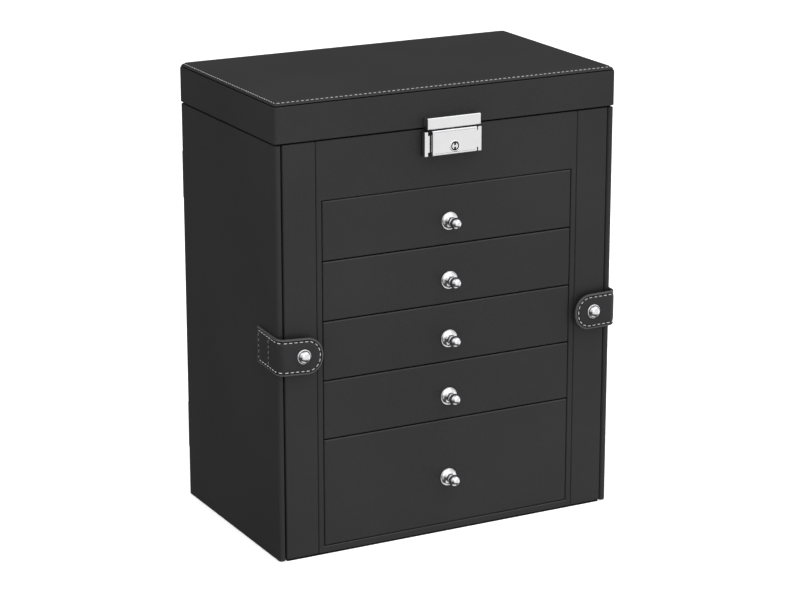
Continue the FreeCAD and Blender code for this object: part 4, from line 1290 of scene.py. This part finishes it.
def hinge_screws():
    """Three screws in each leaf, where the leaf is full width."""
    inward, leaf, lid_hinges, door_hinges = 0.0098, 0.0130, 0.085, 0.1
    back = span("lid_hinge_leaves")[0].y + LEAF_THICK
    lid_height = JOINTS["lid_hinge"]["pos_m"][2]
    backward = (0, 1, 0)
    by_body = {"case": [], "lid": [], "left_door": [], "right_door": []}

    def spots(middle, reach):
        return [middle + end * reach + shift for end in (-1, 1) for shift in (-leaf, 0.0, leaf)]

    for across in spots(0, lid_hinges):
        by_body["case"].append(((across, back, lid_height - inward), backward))
        by_body["lid"].append(((across, back, lid_height + inward), backward))
    for side, sign in SIDES:
        axis_x, axis_y, middle = JOINTS[f"{side}_door_hinge"]["pos_m"]
        low, high = span(f"{side}_door_board")
        inner = low.x if sign > 0 else high.x
        for height in spots(middle, door_hinges):
            by_body["case"].append(((axis_x - sign * inward, back, height), backward))
            by_body[f"{side}_door"].append(((inner, axis_y - inward, height), (-sign, 0, 0)))
    for body, screws in by_body.items():
        shape = join([screw(*entry) for entry in screws])
        piece(f"{body}_hinge_screws", shape, body, "steel", STEEL, sharp=25.0)


# Room

def room():
    """Pale floor. Reflections of the room come from the world, so that the floor stays plain."""
    bpy.ops.mesh.primitive_plane_add(size=14.0)
    floor = bpy.context.object
    floor.name = "floor"
    floor.visible_glossy = False
    look = Look("floor")
    floor.data.materials.append(look.set(
        Base_Color=look.colours(look.noise(3.0), ((0.3, (0.86, 0.86, 0.86)), (0.7, (0.88, 0.88, 0.88)))),
        Roughness=0.9,
        Specular_IOR_Level=0.0,
        Emission_Color=(1.0, 1.0, 1.0, 1.0),
        Emission_Strength=FLOOR_GLOW,
    ))


def studio():
    """Room that is bright in front, to the right and above, and dim elsewhere, on a white ground."""
    world = bpy.data.worlds.new("studio")
    bpy.context.scene.world = world
    world.use_nodes = True
    nodes = world.node_tree.nodes

    def node(kind, *values, **settings):
        made = nodes.new(kind)
        for key, value in settings.items():
            setattr(made, key, value)
        for socket, value in zip(made.inputs, values):
            feed(socket, value)
        return made.outputs

    def slope(value, start, end):
        return node("ShaderNodeMapRange", value, start, end, interpolation_type="SMOOTHSTEP")["Result"]

    direction = nodes.new("ShaderNodeTexCoord").outputs["Generated"]
    height = node("ShaderNodeSeparateXYZ", direction)["Z"]
    total = ROOM_LIGHT
    for faced, shares, heights, strength in GLOWS:
        glow = slope(height, *heights)
        if faced:
            facing = node("ShaderNodeVectorMath", direction, faced, operation="DOT_PRODUCT")["Value"]
            glow = node("ShaderNodeMath", slope(facing, *shares), glow, operation="MULTIPLY")[0]
        total = node("ShaderNodeMath", glow, strength, total, operation="MULTIPLY_ADD")[0]
    seen = nodes.new("ShaderNodeLightPath").outputs["Is Camera Ray"]
    ground = nodes["Background"]
    feed(ground.inputs["Strength"], node("ShaderNodeMath", seen, total, operation="ADD")[0])
    ground.inputs["Color"].default_value = (1.0, 1.0, 1.0, 1.0)


def lights():
    """Key light from the front right, a large top light that is mostly matt, and a fill on the left."""
    studio()
    top, top_target = (0.75, -0.5, 2.7), (0, 0, 0.2)
    for name, place, target, size, power, gloss in (
            ("key", (1.1, -1.7, 2.1), (0, 0, 0.15), 1.3, KEY_POWER, True),
            ("top_soft", top, top_target, 2.2, TOP_POWER * (1 - TOP_GLOSS), False),
            ("top_gloss", top, top_target, 2.2, TOP_POWER * TOP_GLOSS, True),
            ("left_fill", (-1.15, -0.30, 1.10), (-0.13, 0, 0.2), 0.7, FILL_POWER, False)):
        data = bpy.data.lights.new(name, "AREA")
        data.size = size
        data.energy = power
        lamp = bpy.data.objects.new(name, data)
        lamp.location = place
        lamp.rotation_mode = "QUATERNION"
        lamp.rotation_quaternion = (Vector(target) - Vector(place)).to_track_quat("-Z", "Y")
        lamp.visible_glossy = gloss
        bpy.context.scene.collection.objects.link(lamp)
    bpy.context.scene.view_settings.view_transform = "Standard"


def camera():
    """Camera at the photograph's place, with no shift."""
    data = bpy.data.cameras.new("camera")
    data.lens = CAMERA_LENS
    made = bpy.data.objects.new("camera", data)
    made.location = CAMERA_PLACE
    made.rotation_euler = (math.radians(90 - CAMERA_DOWN), 0, math.radians(-CAMERA_YAW))
    bpy.context.scene.collection.objects.link(made)
    bpy.context.scene.camera = made


camera()
ring_rolls()
room()
lights()
hidden_boards()
leather_boards()
front_frame()
lid_frame()
lid_panel()
lid_inside()
lock_ears()
hasp()
lock_cover()
lock_cylinder()
lock_spring()
drawer_fronts()
drawer_boxes()
dividers()
tray()
doors()
straps()
snap_posts()
hinge_screws()
